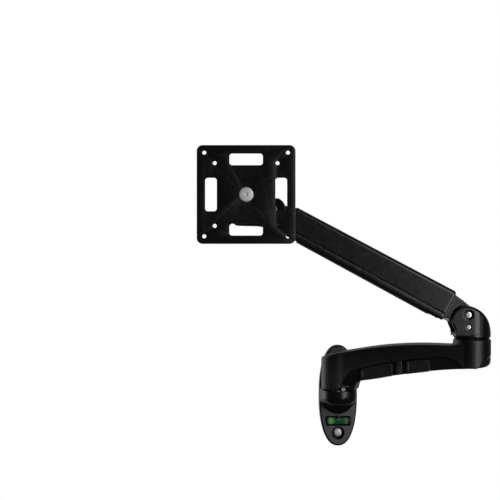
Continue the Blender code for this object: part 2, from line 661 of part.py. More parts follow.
START, CLOSE = 25.0, 248.0
stations = []
for x in (START, START + 1.2, START + 3.5, 60, 110, 160, 205, 235, CLOSE - 3.5, CLOSE - 1.2, CLOSE):
    t = (x - START) / (CLOSE - START)
    inset = eased(min(x - START, CLOSE - x), 3.5)
    half = SHELL_HALF - 1.6 * t - inset * 0.3
    stations.append((x, half, SHELL_LOW, SHELL_HIGH - 2.6 * t - inset, 4.5))
shell = loft("spring_arm_shell", SPRING, stations)
cut(shell, box("shell_flat", SPRING, (0, -40, -40), (300, 40, -21.0)))
inside = [(20, -30), (20, 14.6), (240, 12.2), (244, 8.0), (244, -30)]
cut(shell, prism("shell_inside", SPRING, inside, -17.4, 17.4, view="side"),
    box("shell_end_window", SPRING, (240, -14.0, -40), (260, 14.0, -4.0)))
near_cheek = [
    *arc((0, 0), 10.5, -60, -280, 14), (12, 12.5), (27, 14.5), (40, 14.5), (40, -18), (26, -18), (14, -13.5),
]
far_x = SPRING_LENGTH
far_cheek = [
    *arc((far_x, 0), 10.5, 110, -110, 14), (far_x - 9, -6.5), (far_x - 14.6, -6.0), (far_x - 15.6, -18),
    (228, -18), (228, 12.5), (far_x - 22, 12.5), (far_x - 12, 10.8),
]
for side in (-1, 1):
    low, high = sorted((side * 13.2, side * 16.6))
    wide_low, wide_high = sorted((side * 13.2, side * 18.2))
    join(shell,
         prism(f"near_cheek_{side}", SPRING, near_cheek, low, high, view="side"),
         prism(f"far_cheek_{side}", SPRING, far_cheek, low, high, view="side"),
         box(f"near_root_{side}", SPRING, (28.5, wide_low, -17.5), (39.5, wide_high, 14.4)),
         box(f"far_root_{side}", SPRING, (228.5, wide_low, -17.5), (242, wide_high, 12.2)),
         cylinder(f"strut_boss_{side}", SPRING, 8.0, wide_low, wide_high, STRUT_FAR, "Y", 28))
cut(shell,
    cylinder("shell_hole_near", SPRING, 4.3, -19, 19, (0, 0), "Y", 24),
    cylinder("shell_hole_far", SPRING, 4.3, -19, 19, (far_x, 0), "Y", 24),
    cylinder("shell_hole_strut", SPRING, 3.8, -17.9, 17.9, STRUT_FAR, "Y", 24))
finish(baked(shell), BLACK_PAINT)

cover = box("arm_bottom_cover", SPRING, (42, -17.0, -22.4), (226, 17.0, -20.8))
soften(cover, 0.5, 1, 60)
finish(baked(cover), BLACK_PLASTIC)
pin("strut_pin_far", SPRING, STRUT_FAR, 17.6, 3.5)

bar = [*arc((0, 0), 5, 90, 270, 8), *arc((far_x, 0), 5, -90, 90, 8)]
link = prism("parallel_link", LINK, bar, -12.6, 12.6, view="side")
link_start = 100
cut(link,
    box("link_trough", LINK, (link_start, -9.6, -3.0), (238, 9.6, 40)),
    box("link_gap_near", LINK, (-20, -9.6, -40), (link_start + 0.01, 9.6, 40)),
    box("link_gap_far", LINK, (237.9, -9.6, -40), (300, 9.6, 40)),
    cylinder("link_hole_near", LINK, 3.2, -40, 40, (0, 0), "Y", 20),
    cylinder("link_hole_far", LINK, 3.2, -40, 40, (far_x, 0), "Y", 20))
finish(baked(link), STEEL)

tube_end = STRUT_LENGTH - CYLINDER_START
body = turned("strut_cylinder", STRUT, [
    (0, tube_end), (6.4, tube_end), (CYLINDER_RADIUS, tube_end - 1.2), (CYLINDER_RADIUS, 14.0), (6.6, 12.0),
    (5.0, 11.0), (5.0, 4.0), (0, 4.0),
], sides=32)
body.matrix_local = rotation(-90, "Y")
eye = cylinder("cylinder_eye", STRUT, 7.4, -6.0, 6.0, (0, 0), "Y", 28)
join(body, eye)
cut(body,
    cylinder("cylinder_eye_hole", STRUT, 3.8, -10, 10, (0, 0), "Y", 24),
    cylinder("cylinder_bore", STRUT, ROD_RADIUS + 0.3, -tube_end - 10, -60, (0, 0), "X", 24))
finish(baked(body), BLACK_PAINT)
rod = turned("strut_rod", STRUT, [
    (0, STRUT_LENGTH - 6.0), (ROD_RADIUS, STRUT_LENGTH - 6.0), (ROD_RADIUS, 100.0), (0, 100.0),
], sides=24)
rod.matrix_local = rotation(-90, "Y")
join(rod, cylinder("rod_eye", STRUT, 7.3, -4.5, 4.5, (-STRUT_LENGTH, 0), "Y", 28))
cut(rod, cylinder("rod_eye_hole", STRUT, 5.0, -10, 10, (-STRUT_LENGTH, 0), "Y", 24))
finish(baked(rod), STEEL)

# --------------------------------------------------------------- head knuckle

boss_top = 2.0
side_view = [
    *arc((0, 0), 14.0, 250, 110, 10), (6, 12.0), (16, boss_top), (52.0, boss_top), (52.0, -14), (46, -20),
    (20, -22), (-2, -22),
]
head = prism("head_knuckle", END, side_view, -22, 22, view="side")
plan = [*arc((PAN_REACH, 0), PAN_BOSS_RADIUS, -80, 80, 16), (16, 21.5), (-14, 21.5), (-14, -21.5),
        (16, -21.5)]
keep(head, prism("head_plan", END, plan, -40, 40))
cut(head,
    box("head_slot", END, (-40, -SLOT_HALF, -40), (15.0, SLOT_HALF, 40)),
    cylinder("pan_bore", END, 8.0, -40, 20, (PAN_REACH, 0)),
    cylinder("pan_counterbore", END, 12.5, -40, -10, (PAN_REACH, 0)),
    cylinder("pan_washer_seat", END, 12.5, 1.1, 20, (PAN_REACH, 0)),
    cylinder("lift_hole_upper", END, 4.2, -40, 40, (0, 0), "Y", 24),
    cylinder("link_hole_upper", END, 3.2, -40, 40, (0, -LINK_DROP), "Y", 20))
finish(baked(head), BLACK_PAINT)
pin("lift_pin_upper", END, (0, 0), 21.0, 3.9)
pin("link_pin_upper", END, (0, -LINK_DROP), 21.0, 2.9)
ring("pan_bush", END, 6.0, 7.7, -9.8, 0.9, (PAN_REACH, 0))
ring("pan_thrust_washer", END, 6.1, 12.2, 1.25, 2.4, (PAN_REACH, 0))

# ------------------------------------------------------------------ pan head

low = boss_top - SCREEN_RISE + 0.6
barrel = cylinder("pan_head", HEAD, 15.0, low, 12.0, sides=48)
soften(barrel, 2.0, 2, 60)
ears = [*arc((-TILT_REACH, 0), 10.0, 90, 270, 12), (-4, -10.0), (-4, 10.0)]
arms = prism("pan_ears", HEAD, ears, -14.6, 14.6, view="section")
join(barrel, arms)
cut(barrel,
    box("ear_slot", HEAD, (-9.8, -60, -30), (9.8, -15.6, 30)),
    cylinder("tilt_hole", HEAD, 4.2, -40, 40, (-TILT_REACH, 0), "X", 24),
    cylinder("pan_thread", HEAD, 6.0, -40, -1.0))
finish(baked(barrel), BLACK_PAINT)
bolt = turned("pan_bolt", HEAD, [
    (0, -2.0), (5.7, -2.0), (5.7, -28.6), (9.6, -28.6), (9.6, -32.4), (8.8, -33.2), (0, -33.2),
])
cut(bolt, cylinder("pan_bolt_socket", HEAD, 4.0, -50, -30.4, sides=6))
finish(baked(bolt), STEEL)
ring("pan_bolt_washer", HEAD, 6.0, 11.4, -28.3, -26.5, paint=STEEL)

# ------------------------------------------------------------------- tilt head

tilt = cylinder("tilt_block", TILT, 9.6, -9.4, 9.4, (0, 0), "X", 36)
neck = box("tilt_neck", TILT, (-9.0, -18.4, -7.5), (9.0, 0, 7.5))
flange = cylinder("tilt_flange", TILT, 19.0, -20.6, -16.8, (0, 0), "Y", 48)
join(tilt, neck, flange)
cut(tilt,
    cylinder("tilt_bore", TILT, 4.2, -40, 40, (0, 0), "X", 24),
    cylinder("rotate_bore", TILT, 4.2, -40, -11.5, (0, 0), "Y", 24))
finish(baked(tilt), BLACK_PAINT)
bolt = turned("tilt_bolt", HEAD, [
    (0, 20.4), (5.4, 20.4), (6.4, 19.4), (6.4, 16.6), (3.9, 16.6), (3.9, -20.8), (0, -20.8),
], (0, -TILT_REACH, 0), "X", 28)
cut(bolt, cylinder("tilt_bolt_socket", HEAD, 3.0, 18.0, 30, (-TILT_REACH, 0), "X", 6))
finish(baked(bolt), STEEL)
nut = prism("tilt_nut", HEAD, [(-TILT_REACH + 7.0 * math.cos(math.radians(60 * i)),
                                7.0 * math.sin(math.radians(60 * i))) for i in range(6)],
            -20.4, -16.2, view="section")
cut(nut, cylinder("tilt_nut_bore", HEAD, 4.2, -30, -10, (-TILT_REACH, 0), "X", 24))
finish(baked(nut), STEEL)
for name, x in (("left", -15.45), ("right", 15.65)):
    washer = turned(f"tilt_washer_{name}", HEAD, [(7.6, 0.6), (7.6, -0.6), (4.2, -0.6), (4.2, 0.6)],
                    (x, -TILT_REACH, 0), "X", 28, ring=True)
    finish(baked(washer), STEEL)

# ------------------------------------------------------------------ VESA plate

V = VESA_HALF
outline = rounded_box((-V, -V), (V, V), (7, 7, 7, 7), 4)
plate = prism("vesa_plate", TILT, outline, -PLATE_REACH, VESA_THICKNESS - PLATE_REACH,
              view="side")
tools = []
for pitch in (37.5, 50.0):
    for a in (-1, 1):
        for b in (-1, 1):
            tools.append(cylinder(f"vesa_hole_{pitch:.0f}_{a}_{b}", TILT, 2.4, -40, 0,
                                  (a * pitch, b * pitch), "Y", 16))
for i, (x, z) in enumerate(((0, 42), (42, 0), (0, -42), (-42, 0))):
    size = (20, 7) if x == 0 else (7, 20)
    r = 3.5
    outline = rounded_box((x - size[0], z - size[1]), (x + size[0], z + size[1]), (r, r, r, r), 3)
    tools.append(prism(f"vesa_slot_{i}", TILT, outline, -40, 0, view="side"))
tools.append(cylinder("vesa_bore", TILT, 4.3, -40, 0, (0, 0), "Y", 24))
cut(plate, *tools)
soften(plate, 0.5, 1, 60)
finish(baked(plate), BLACK_PAINT)
bolt = turned("rotate_bolt", TILT, [
    (0, 27.6), (7.4, 27.6), (8.6, 26.6), (9.0, 24.9), (4.0, 24.9), (4.0, 12.2), (0, 12.2),
], (0, 0, 0), None, 28)
bolt.matrix_local = rotation(90, "X")
cut(bolt, cylinder("rotate_socket", TILT, 2.6, -40, -26.0, (0, 0), "Y", 6))
finish(baked(bolt), STEEL)
washer = turned("rotate_washer", TILT, [(16.0, 0.3), (16.0, -0.3), (4.3, -0.3), (4.3, 0.3)],
                (0, -21.05, 0), "Y", 40, ring=True)
finish(baked(washer), NYLON)
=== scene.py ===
"""The finished look of the wall-mounted monitor arm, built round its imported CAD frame."""

import json
import math

import bmesh
import bpy
from mathutils import Matrix, Vector


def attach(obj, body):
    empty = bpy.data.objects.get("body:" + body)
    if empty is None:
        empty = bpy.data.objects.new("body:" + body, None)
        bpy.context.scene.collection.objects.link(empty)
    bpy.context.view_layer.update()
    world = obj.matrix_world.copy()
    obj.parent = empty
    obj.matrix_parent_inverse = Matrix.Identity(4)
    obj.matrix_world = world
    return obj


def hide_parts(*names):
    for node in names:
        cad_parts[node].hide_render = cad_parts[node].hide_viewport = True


MM = 0.001
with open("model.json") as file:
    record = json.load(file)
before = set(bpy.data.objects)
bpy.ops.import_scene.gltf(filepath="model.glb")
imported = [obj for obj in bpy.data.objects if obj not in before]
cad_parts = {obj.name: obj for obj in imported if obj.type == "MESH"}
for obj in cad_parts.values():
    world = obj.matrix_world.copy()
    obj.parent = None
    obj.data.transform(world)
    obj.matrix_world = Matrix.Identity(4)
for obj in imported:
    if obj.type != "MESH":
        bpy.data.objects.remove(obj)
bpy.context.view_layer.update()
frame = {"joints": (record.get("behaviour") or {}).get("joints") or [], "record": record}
JOINTS = {joint["name"]: joint for joint in frame["joints"]}
BODY = {node: body for body, nodes in frame["record"]["behaviour"]["bodies"].items() for node in nodes}


# ---------------------------------------------------------------- joint frames

def at(name):
    return Vector(JOINTS[name]["pos_m"]) / MM


def turn(degrees, axis):
    return Matrix.Rotation(math.radians(degrees), 4, axis)


def frame_at(point, rotation=None):
    matrix = Matrix.Translation(Vector(point) * MM)
    return matrix @ rotation if rotation is not None else matrix


wall_axis, elbow_axis = at("wall_swivel"), at("elbow_swivel")
lower_pivot, upper_pivot = at("arm_lift"), at("head_level")
YAW = math.degrees(math.atan2(elbow_axis.y - wall_axis.y, elbow_axis.x - wall_axis.x))
PITCH = math.degrees(math.atan2(upper_pivot.z - lower_pivot.z, lower_pivot.x - upper_pivot.x))
REACH = math.hypot(elbow_axis.x - wall_axis.x, elbow_axis.y - wall_axis.y)
SPRING_LENGTH = (upper_pivot - lower_pivot).length
PIVOT_X = elbow_axis.x - lower_pivot.x
PIVOT_HEIGHT = lower_pivot.z
strut_pivot = at("strut_swing")
HALF_TURN = turn(180, "Z")
RAISED = turn(PITCH, "Y") @ HALF_TURN

WALL = frame_at((0, 0, 0))
EXTENSION = frame_at((wall_axis.x, wall_axis.y, 0), turn(YAW, "Z"))
ELBOW = frame_at((elbow_axis.x, elbow_axis.y, 0), HALF_TURN)
SPRING = frame_at(lower_pivot, RAISED)
LINK = frame_at(at("link_follow"), RAISED)
EYE = (6.0, 94.0)  # the strut's near eye, in the elbow's frame
strut_eye = Vector((elbow_axis.x - EYE[0], elbow_axis.y, EYE[1]))
STRUT_LENGTH = (strut_eye - strut_pivot).length
along = strut_eye - strut_pivot
STRUT = frame_at(strut_pivot, turn(math.degrees(math.atan2(-along.z, along.x)), "Y"))
END = frame_at(upper_pivot, HALF_TURN)
HEAD = frame_at((at("head_pan").x, at("head_pan").y, at("head_tilt").z))
TILT = frame_at(at("head_tilt"))
HUB_Y = wall_axis.y


# ------------------------------------------------------------------- materials

class Nodes:
    """A short way to write a material's node tree."""

    def __init__(self, name):
        self.material = bpy.data.materials.new(name)
        self.material.use_nodes = True
        self.tree = self.material.node_tree
        self.shader = self.tree.nodes["Principled BSDF"]
        self.place = self.tree.nodes.new("ShaderNodeTexCoord").outputs["Object"]

    def add(self, kind, **inputs):
        node = self.tree.nodes.new(kind)
        for key, value in inputs.items():
            self.put(node.inputs[key.replace("_", " ")], value)
        return node

    def put(self, socket, value):
        if isinstance(value, bpy.types.NodeSocket):
            self.tree.links.new(value, socket)
        else:
            socket.default_value = value

    def noise(self, scale, detail=3.0, rough=0.55, vector=None):
        node = self.add("ShaderNodeTexNoise", Scale=scale, Detail=detail, Roughness=rough)
        self.put(node.inputs["Vector"], vector or self.place)
        return node.outputs["Fac"]

    def ramp(self, value, *stops):
        node = self.tree.nodes.new("ShaderNodeValToRGB")
        self.put(node.inputs["Fac"], value)
        elements = node.color_ramp.elements
        while len(elements) < len(stops):
            elements.new(0.5)
        for element, (position, colour) in zip(elements, stops):
            element.position = position
            element.color = (*colour, 1.0) if len(colour) == 3 else colour
        return node.outputs["Color"]

    def span(self, value, low, high, source=(0.3, 0.7)):
        node = self.add("ShaderNodeMapRange")
        self.put(node.inputs["Value"], value)
        node.inputs["From Min"].default_value, node.inputs["From Max"].default_value = source
        node.inputs["To Min"].default_value, node.inputs["To Max"].default_value = low, high
        return node.outputs["Result"]

    def mix(self, factor, a, b):
        node = self.tree.nodes.new("ShaderNodeMix")
        node.data_type = "RGBA"
        self.put(node.inputs[0], factor)
        self.put(node.inputs[6], a)
        self.put(node.inputs[7], b)
        return node.outputs[2]

    def math(self, operation, a, b=0.0):
        node = self.tree.nodes.new("ShaderNodeMath")
        node.operation = operation
        self.put(node.inputs[0], a)
        self.put(node.inputs[1], b)
        return node.outputs[0]

    def bump(self, height, strength, distance, under=None):
        node = self.add("ShaderNodeBump", Strength=strength, Distance=distance, Height=height)
        if under is not None:
            self.put(node.inputs["Normal"], under)
        return node.outputs["Normal"]

    def surface(self, **inputs):
        for key, value in inputs.items():
            self.put(self.shader.inputs[key.replace("_", " ")], value)
        return self.material


def painted(name, dark, light, low, high, grain=900.0, relief=0.000015):
    """Powder coat: a fine orange peel, soft cloudiness in its colour, and gloss that varies a little."""
    n = Nodes(name)
    cloud = n.noise(55.0, 4.0, 0.6)
    colour = n.ramp(cloud, (0.32, dark), (0.7, light))
    peel = n.noise(grain, 2.0, 0.5)
    fine = n.noise(grain * 3.1, 2.0, 0.6)
    rough = n.span(n.noise(140.0, 5.0, 0.65), low, high)
    normal = n.bump(fine, 0.12, relief * 0.5, n.bump(peel, 0.22, relief))
    return n.surface(Base_Color=colour, Roughness=rough, Normal=normal, Specular_IOR_Level=0.5)


def moulded(name, dark, light, low, high):
    """Moulded plastic with a fine spark-eroded texture."""
    n = Nodes(name)
    colour = n.ramp(n.noise(80.0, 3.0), (0.3, dark), (0.72, light))
    grit = n.noise(2600.0, 3.0, 0.7)
    normal = n.bump(grit, 0.25, 0.00003)
    return n.surface(Base_Color=colour, Roughness=n.span(n.noise(220.0, 4.0), low, high), Normal=normal)


def metal(name, dark, light, low, high, lines=0.0, relief=0.00001, metallic=1.0):
    """Bare or plated metal: faint turning or drawing lines and small differences of tone."""
    n = Nodes(name)
    stretch = n.add("ShaderNodeMapping", Vector=n.place)
    stretch.inputs["Scale"].default_value = (1.0, 1.0, 1.0 + lines)
    drawn = n.noise(420.0, 5.0, 0.7, stretch.outputs["Vector"])
    tone = n.noise(90.0, 3.0)
    colour = n.ramp(n.math("MULTIPLY", n.math("ADD", drawn, tone), 0.5), (0.35, dark), (0.65, light))
    return n.surface(Base_Color=colour, Metallic=metallic, Roughness=n.span(drawn, low, high),
                     Normal=n.bump(drawn, 0.3, relief))


def casting_paint_painted_light(name, upper_tones, lower_painted_sheen_tones, recess_painted_shade_tones, painted_sheen_heights):
    """The arm's powder coat, with a painted sheen that makes the outer faces paler towards the bottom, and painted
    shade in the recesses.
    """
    n = Nodes(name)
    split = n.add("ShaderNodeSeparateXYZ", Vector=n.place)
    # Painted sheen: below these heights the outer faces take the paler tones, as if they reflected the light room
    # below.
    height = n.span(split.outputs["Z"], 0.0, 1.0, tuple(z * MM for z in painted_sheen_heights))
    cloud = n.noise(55.0, 4.0, 0.6)
    upper, lower, recess = (n.ramp(cloud, (0.32, (d, d, d * 1.06)), (0.7, (e, e, e * 1.05)))
                            for d, e in (upper_tones, lower_painted_sheen_tones, recess_painted_shade_tones))
    # Painted shade: within 18 mm of the arm's middle line, in the side recesses and the stop notch, the paint takes
    # the darker recess tones.
    slope = math.radians(YAW)
    across = n.math("ADD", n.math("MULTIPLY", split.outputs["X"], -math.sin(slope)),
                    n.math("MULTIPLY", split.outputs["Y"], math.cos(slope)))
    across = n.math("ABSOLUTE", n.math("SUBTRACT", across, wall_axis.y * MM * math.cos(slope)))
    outer = n.span(across, 0.0, 1.0, (0.0180, 0.0197))
    lower = n.mix(outer, recess, lower)
    upper = n.mix(outer, recess, upper)
    peel = n.bump(n.noise(900.0, 2.0, 0.5), 0.2, 0.000015)
    rough = n.span(n.noise(140.0, 5.0, 0.65), 0.34, 0.44)
    return n.surface(Base_Color=n.mix(height, lower, upper), Roughness=rough, Normal=peel, Specular_IOR_Level=0.5)


def bracket_paint():
    """The same powder coat as the arm, with a matt textured finish on the plate's flat front face."""
    n = Nodes("bracket_paint")
    split = n.add("ShaderNodeSeparateXYZ", Vector=n.place)
    depth = n.add("ShaderNodeMapRange", Value=split.outputs["Y"])
    depth.interpolation_type = "SMOOTHSTEP"
    for key, value in (("From Min", -0.01175), ("From Max", -0.01196), ("To Min", 0.0), ("To Max", 1.0)):
        depth.inputs[key].default_value = value
    high = n.math("GREATER_THAN", split.outputs["Y"], -0.0122)
    face = n.math("MULTIPLY", depth.outputs["Result"], high)
    gloss = n.ramp(n.noise(55.0, 4.0, 0.6), (0.32, (0.0042, 0.0042, 0.0045)), (0.7, (0.0062, 0.0062, 0.0065)))
    matt = n.ramp(n.noise(900.0, 4.0, 0.7), (0.3, (0.09, 0.092, 0.095)), (0.7, (0.123, 0.125, 0.129)))
    rough = n.span(n.noise(140.0, 5.0, 0.65), 0.26, 0.36)
    rough_face = n.math("MAXIMUM", rough, n.math("MULTIPLY", face, 0.62))
    grain = n.noise(2200.0, 3.0, 0.7)
    height = n.math("MULTIPLY", grain, n.math("ADD", n.math("MULTIPLY", face, 0.9), 0.1))
    return n.surface(Base_Color=n.mix(face, gloss, matt), Roughness=rough_face,
                     Normal=n.bump(height, 0.3, 0.00004), Specular_IOR_Level=0.5)


def level_green_painted_light(name, clearness, roughness, painted_glow):
    """Dyed green acrylic and fluid, with painted light: a pale glow at the left end, a lighter right end, and a faint
    emission glow.
    """
    n = Nodes(name)
    split = n.add("ShaderNodeSeparateXYZ", Vector=n.place)
    wave = n.math("MULTIPLY", n.noise(300.0, 3.0), 0.004)
    along = n.span(n.math("ADD", split.outputs["X"], wave), 0.0, 1.0, (-0.0125, 0.0155))
    # Painted light: the left end pale as if lit from the left, deep green in the middle, lighter again at the right
    # end.
    colour = n.ramp(along, (0.0, (0.2, 0.44, 0.17)), (0.2, (0.2, 0.5, 0.18)), (0.3, (0.09, 0.3, 0.12)),
                    (0.42, (0.014, 0.12, 0.045)), (0.8, (0.02, 0.16, 0.06)), (0.9, (0.16, 0.28, 0.16)))
    # The emission makes the green glow faintly: painted light, with no lamp in it.
    return n.surface(Base_Color=colour, Roughness=roughness, IOR=1.4, Transmission_Weight=clearness,
                     Emission_Color=colour, Emission_Strength=painted_glow, Normal=n.bump(n.noise(700.0), 0.05, 0.00001))


MATERIALS = {
    "black_paint": painted("arm_black_paint", (0.0042, 0.0042, 0.0045), (0.0062, 0.0062, 0.0065), 0.24, 0.34),
    "bracket": bracket_paint(),
    "tube_paint": painted("strut_black_paint", (0.008, 0.008, 0.0085), (0.012, 0.012, 0.0125), 0.16, 0.24,
                          600.0, 0.00002),
    "black_plastic": moulded("black_plastic", (0.01, 0.01, 0.0103), (0.015, 0.015, 0.0154), 0.38, 0.5),
    "glossy_plastic": moulded("glossy_black_plastic", (0.006, 0.006, 0.0062), (0.009, 0.009, 0.0092), 0.12, 0.2),
    "steel": metal("plain_steel", (0.42, 0.42, 0.43), (0.6, 0.6, 0.6), 0.26, 0.4, 8.0),
    "dark_steel": metal("oxide_steel", (0.05, 0.05, 0.052), (0.09, 0.09, 0.092), 0.32, 0.45, 3.0),
    "bright_steel": metal("polished_steel", (0.5, 0.5, 0.5), (0.62, 0.62, 0.61), 0.18, 0.28, 20.0, 0.000004),
    "zinc": metal("bright_zinc", (0.86, 0.87, 0.88), (0.97, 0.97, 0.96), 0.4, 0.52, 1.0, metallic=0.35),
    "grey_plastic": moulded("olive_plastic", (0.03, 0.032, 0.028), (0.045, 0.047, 0.04), 0.35, 0.45),
    "nylon": moulded("natural_nylon", (0.66, 0.65, 0.6), (0.76, 0.75, 0.71), 0.4, 0.55),
    "clear_acrylic": level_green_painted_light("clear_acrylic", 0.35, 0.05, 0.1),
    "green_fluid": level_green_painted_light("green_fluid", 0.2, 0.08, 0.25),
    "casting_paint_painted_light": casting_paint_painted_light("casting_black_paint_painted_light", (0.0026, 0.004), (0.021, 0.027), (0.001, 0.0018),
                                   (34.0, 58.0)),
    # the look of the painted glint on the level's tube
    "bubble": moulded("level_bubble_painted_glint", (0.09, 0.26, 0.14), (0.12, 0.32, 0.18), 0.1, 0.16),
}


# ------------------------------------------------------------------ mesh tools

def new_object(name, data):
    obj = bpy.data.objects.new(name, data)
    bpy.context.scene.collection.objects.link(obj)
    return obj


def from_bmesh(name, bm, home):
    bmesh.ops.recalc_face_normals(bm, faces=bm.faces)
    mesh = bpy.data.meshes.new(name)
    bm.to_mesh(mesh)
    bm.free()
    mesh.transform(home)
    return new_object(name, mesh)


def rounded_ring(half, low, high, radius, steps=6):
    r = max(0.05, min(radius, half * 0.98, (high - low) * 0.49))
    ring = []
    for cy, cz, start in ((half - r, low + r, -90), (half - r, high - r, 0), (r - half, high - r, 90),
                          (r - half, low + r, 180)):
        for i in range(steps + 1):
            a = math.radians(start + 90 * i / steps)
            ring.append((cy + r * math.cos(a), cz + r * math.sin(a)))
    return ring


def skin(bm, rings):
    """Joins each ring of corners to the next with four-sided faces."""
    for one, two in zip(rings, rings[1:]):
        for i in range(len(one)):
            j = (i + 1) % len(one)
            bm.faces.new((one[i], one[j], two[j], two[i]))


def loft(name, home, stations, steps=6):
    """A body drawn through rounded rectangles along X. A station is (x, half width, low, high, radius)."""
    bm = bmesh.new()
    rings = [[bm.verts.new((x * MM, y * MM, z * MM)) for y, z in rounded_ring(half, low, high, radius, steps)]
             for x, half, low, high, radius in stations]
    skin(bm, rings)
    bm.faces.new(list(reversed(rings[0])))
    bm.faces.new(rings[-1])
    return from_bmesh(name, bm, home)


def prism(name, home, outline, low, high, view="plan"):
    """A flat outline made thick: "plan" is drawn in X, Y; "side" in X, Z; "section" in Y, Z."""
    order = {"plan": lambda a, b, c: (a, b, c), "side": lambda a, b, c: (a, c, b),
             "section": lambda a, b, c: (c, a, b)}[view]
    bm = bmesh.new()
    ends = [[bm.verts.new(Vector(order(a, b, c)) * MM) for a, b in outline] for c in (low, high)]
    for i in range(len(outline)):
        j = (i + 1) % len(outline)
        bm.faces.new((ends[0][i], ends[0][j], ends[1][j], ends[1][i]))
    bm.faces.new(list(reversed(ends[0])))
    bm.faces.new(ends[1])
    return from_bmesh(name, bm, home)


def lathe(name, home, profile, sides=72, axis="Z", centre=(0, 0, 0), closed=False):
    """A turned piece from (radius, height) points. A ring's profile is a closed loop."""
    bm = bmesh.new()
    rings = []
    for radius, height in profile:
        if radius < 1e-6:
            rings.append([bm.verts.new((0, 0, height * MM))])
        else:
            rings.append([bm.verts.new((radius * MM * math.cos(2 * math.pi * i / sides),
                                        radius * MM * math.sin(2 * math.pi * i / sides), height * MM))
                          for i in range(sides)])
    pairs = list(zip(rings, rings[1:])) + ([(rings[-1], rings[0])] if closed else [])
    for one, two in pairs:
        for i in range(sides):
            j = (i + 1) % sides
            corners = [one[i % len(one)], one[j % len(one)], two[j % len(two)], two[i % len(two)]]
            unique = list(dict.fromkeys(corners))
            if len(unique) > 2:
                bm.faces.new(unique)
    if not closed:
        for ring in (rings[0], rings[-1]):
            if len(ring) > 1:
                bm.faces.new(ring)
    spin = {"X": turn(90, "Y"), "Y": turn(-90, "X"), "-Y": turn(90, "X"), "Z": Matrix.Identity(4)}[axis]
    return from_bmesh(name, bm, home @ Matrix.Translation(Vector(centre) * MM) @ spin)


def box(name, home, low, high):
    (x0, y0, z0), (x1, y1, z1) = low, high
    return prism(name, home, [(x0, y0), (x1, y0), (x1, y1), (x0, y1)], z0, z1)


def rod(name, home, radius, low, high, where=(0, 0), axis="Z", sides=64):
    """A plain round bar, for joining and cutting. where is its place on the other two axes, in X, Y, Z order."""
    a, b = where
    centre = {"X": (0, a, b), "Y": (a, 0, b), "Z": (a, b, 0)}[axis]
    return lathe(name, home, [(radius, low), (radius, high)], sides, axis, centre)


def arc(centre, radius, start, end, steps):
    angles = [math.radians(start + (end - start) * i / steps) for i in range(steps + 1)]
    return [(centre[0] + radius * math.cos(a), centre[1] + radius * math.sin(a)) for a in angles]


def either_side(inner, outer):
    """-1 and 1, each with the lower and the higher end of that side's stretch."""
    return [(sign, *sorted((sign * inner, sign * outer))) for sign in (-1, 1)]


def smooth_line(points, steps=8):
    """A Catmull-Rom curve through a few points, spaced by their distances."""
    ends = [points[0], *points, points[-1]]
    line = []
    for a, b, c, d in zip(ends, ends[1:], ends[2:], ends[3:]):
        for i in range(steps):
            t = i / steps
            line.append(tuple(
                0.5 * (2 * b[k] + (c[k] - a[k]) * t + (2 * a[k] - 5 * b[k] + 4 * c[k] - d[k]) * t * t
                       + (3 * b[k] - a[k] - 3 * c[k] + d[k]) * t ** 3)
                for k in range(2)))
    return [*line, points[-1]]


def between(points, x):
    for (x0, z0), (x1, z1) in zip(points, points[1:]):
        if x <= x1:
            return z0 + (z1 - z0) * max(0.0, x - x0) / (x1 - x0)
    return points[-1][1]


def eased(distance, radius):
    """How far a rounded edge has dropped at this distance in from the rim."""
    if distance >= radius:
        return 0.0
    return radius - math.sqrt(max(0.0, radius ** 2 - (radius - distance) ** 2))


def rounded_box(low, high, radius, steps=6):
    (x0, y0), (x1, y1) = low, high
    return [*arc((x1 - radius, y0 + radius), radius, -90, 0, steps),
            *arc((x1 - radius, y1 - radius), radius, 0, 90, steps),
            *arc((x0 + radius, y1 - radius), radius, 90, 180, steps),
            *arc((x0 + radius, y0 + radius), radius, 180, 270, steps)]


def polygon(radius, sides, centre=(0, 0), start=0.0):
    return [(centre[0] + radius * math.cos(math.radians(start + 360 * i / sides)),
             centre[1] + radius * math.sin(math.radians(start + 360 * i / sides))) for i in range(sides)]


def boolean(target, how, *tools):
    for tool in tools:
        modifier = target.modifiers.new("boolean", "BOOLEAN")
        modifier.operation = how
        modifier.solver = "EXACT"
        modifier.object = tool
    settle(target)
    for tool in tools:
        bpy.data.objects.remove(tool, do_unlink=True)
    return target


def settle(obj):
    """Applies an object's modifiers."""
    bpy.context.view_layer.update()
    graph = bpy.context.evaluated_depsgraph_get()
    mesh = bpy.data.meshes.new_from_object(obj.evaluated_get(graph))
    obj.modifiers.clear()
    obj.data = mesh
    mesh.name = obj.name
    return obj


def cut(target, *tools):
    return boolean(target, "DIFFERENCE", *tools)


def join(target, *tools):
    return boolean(target, "UNION", *tools)


def keep(target, *tools):
    return boolean(target, "INTERSECT", *tools)


def cast(obj, voxel=0.5, rounds=6, ratio=0.35):
    """Rounds every edge and corner the way a casting or moulding has them."""
    remesh = obj.modifiers.new("remesh", "REMESH")
    remesh.mode = "VOXEL"
    remesh.voxel_size = voxel * MM
    smooth = obj.modifiers.new("smooth", "SMOOTH")
    smooth.factor = 0.5
    smooth.iterations = rounds
    if ratio < 1.0:
        decimate = obj.modifiers.new("decimate", "DECIMATE")
        decimate.ratio = ratio
    settle(obj)
    obj.data.shade_smooth()
    return obj


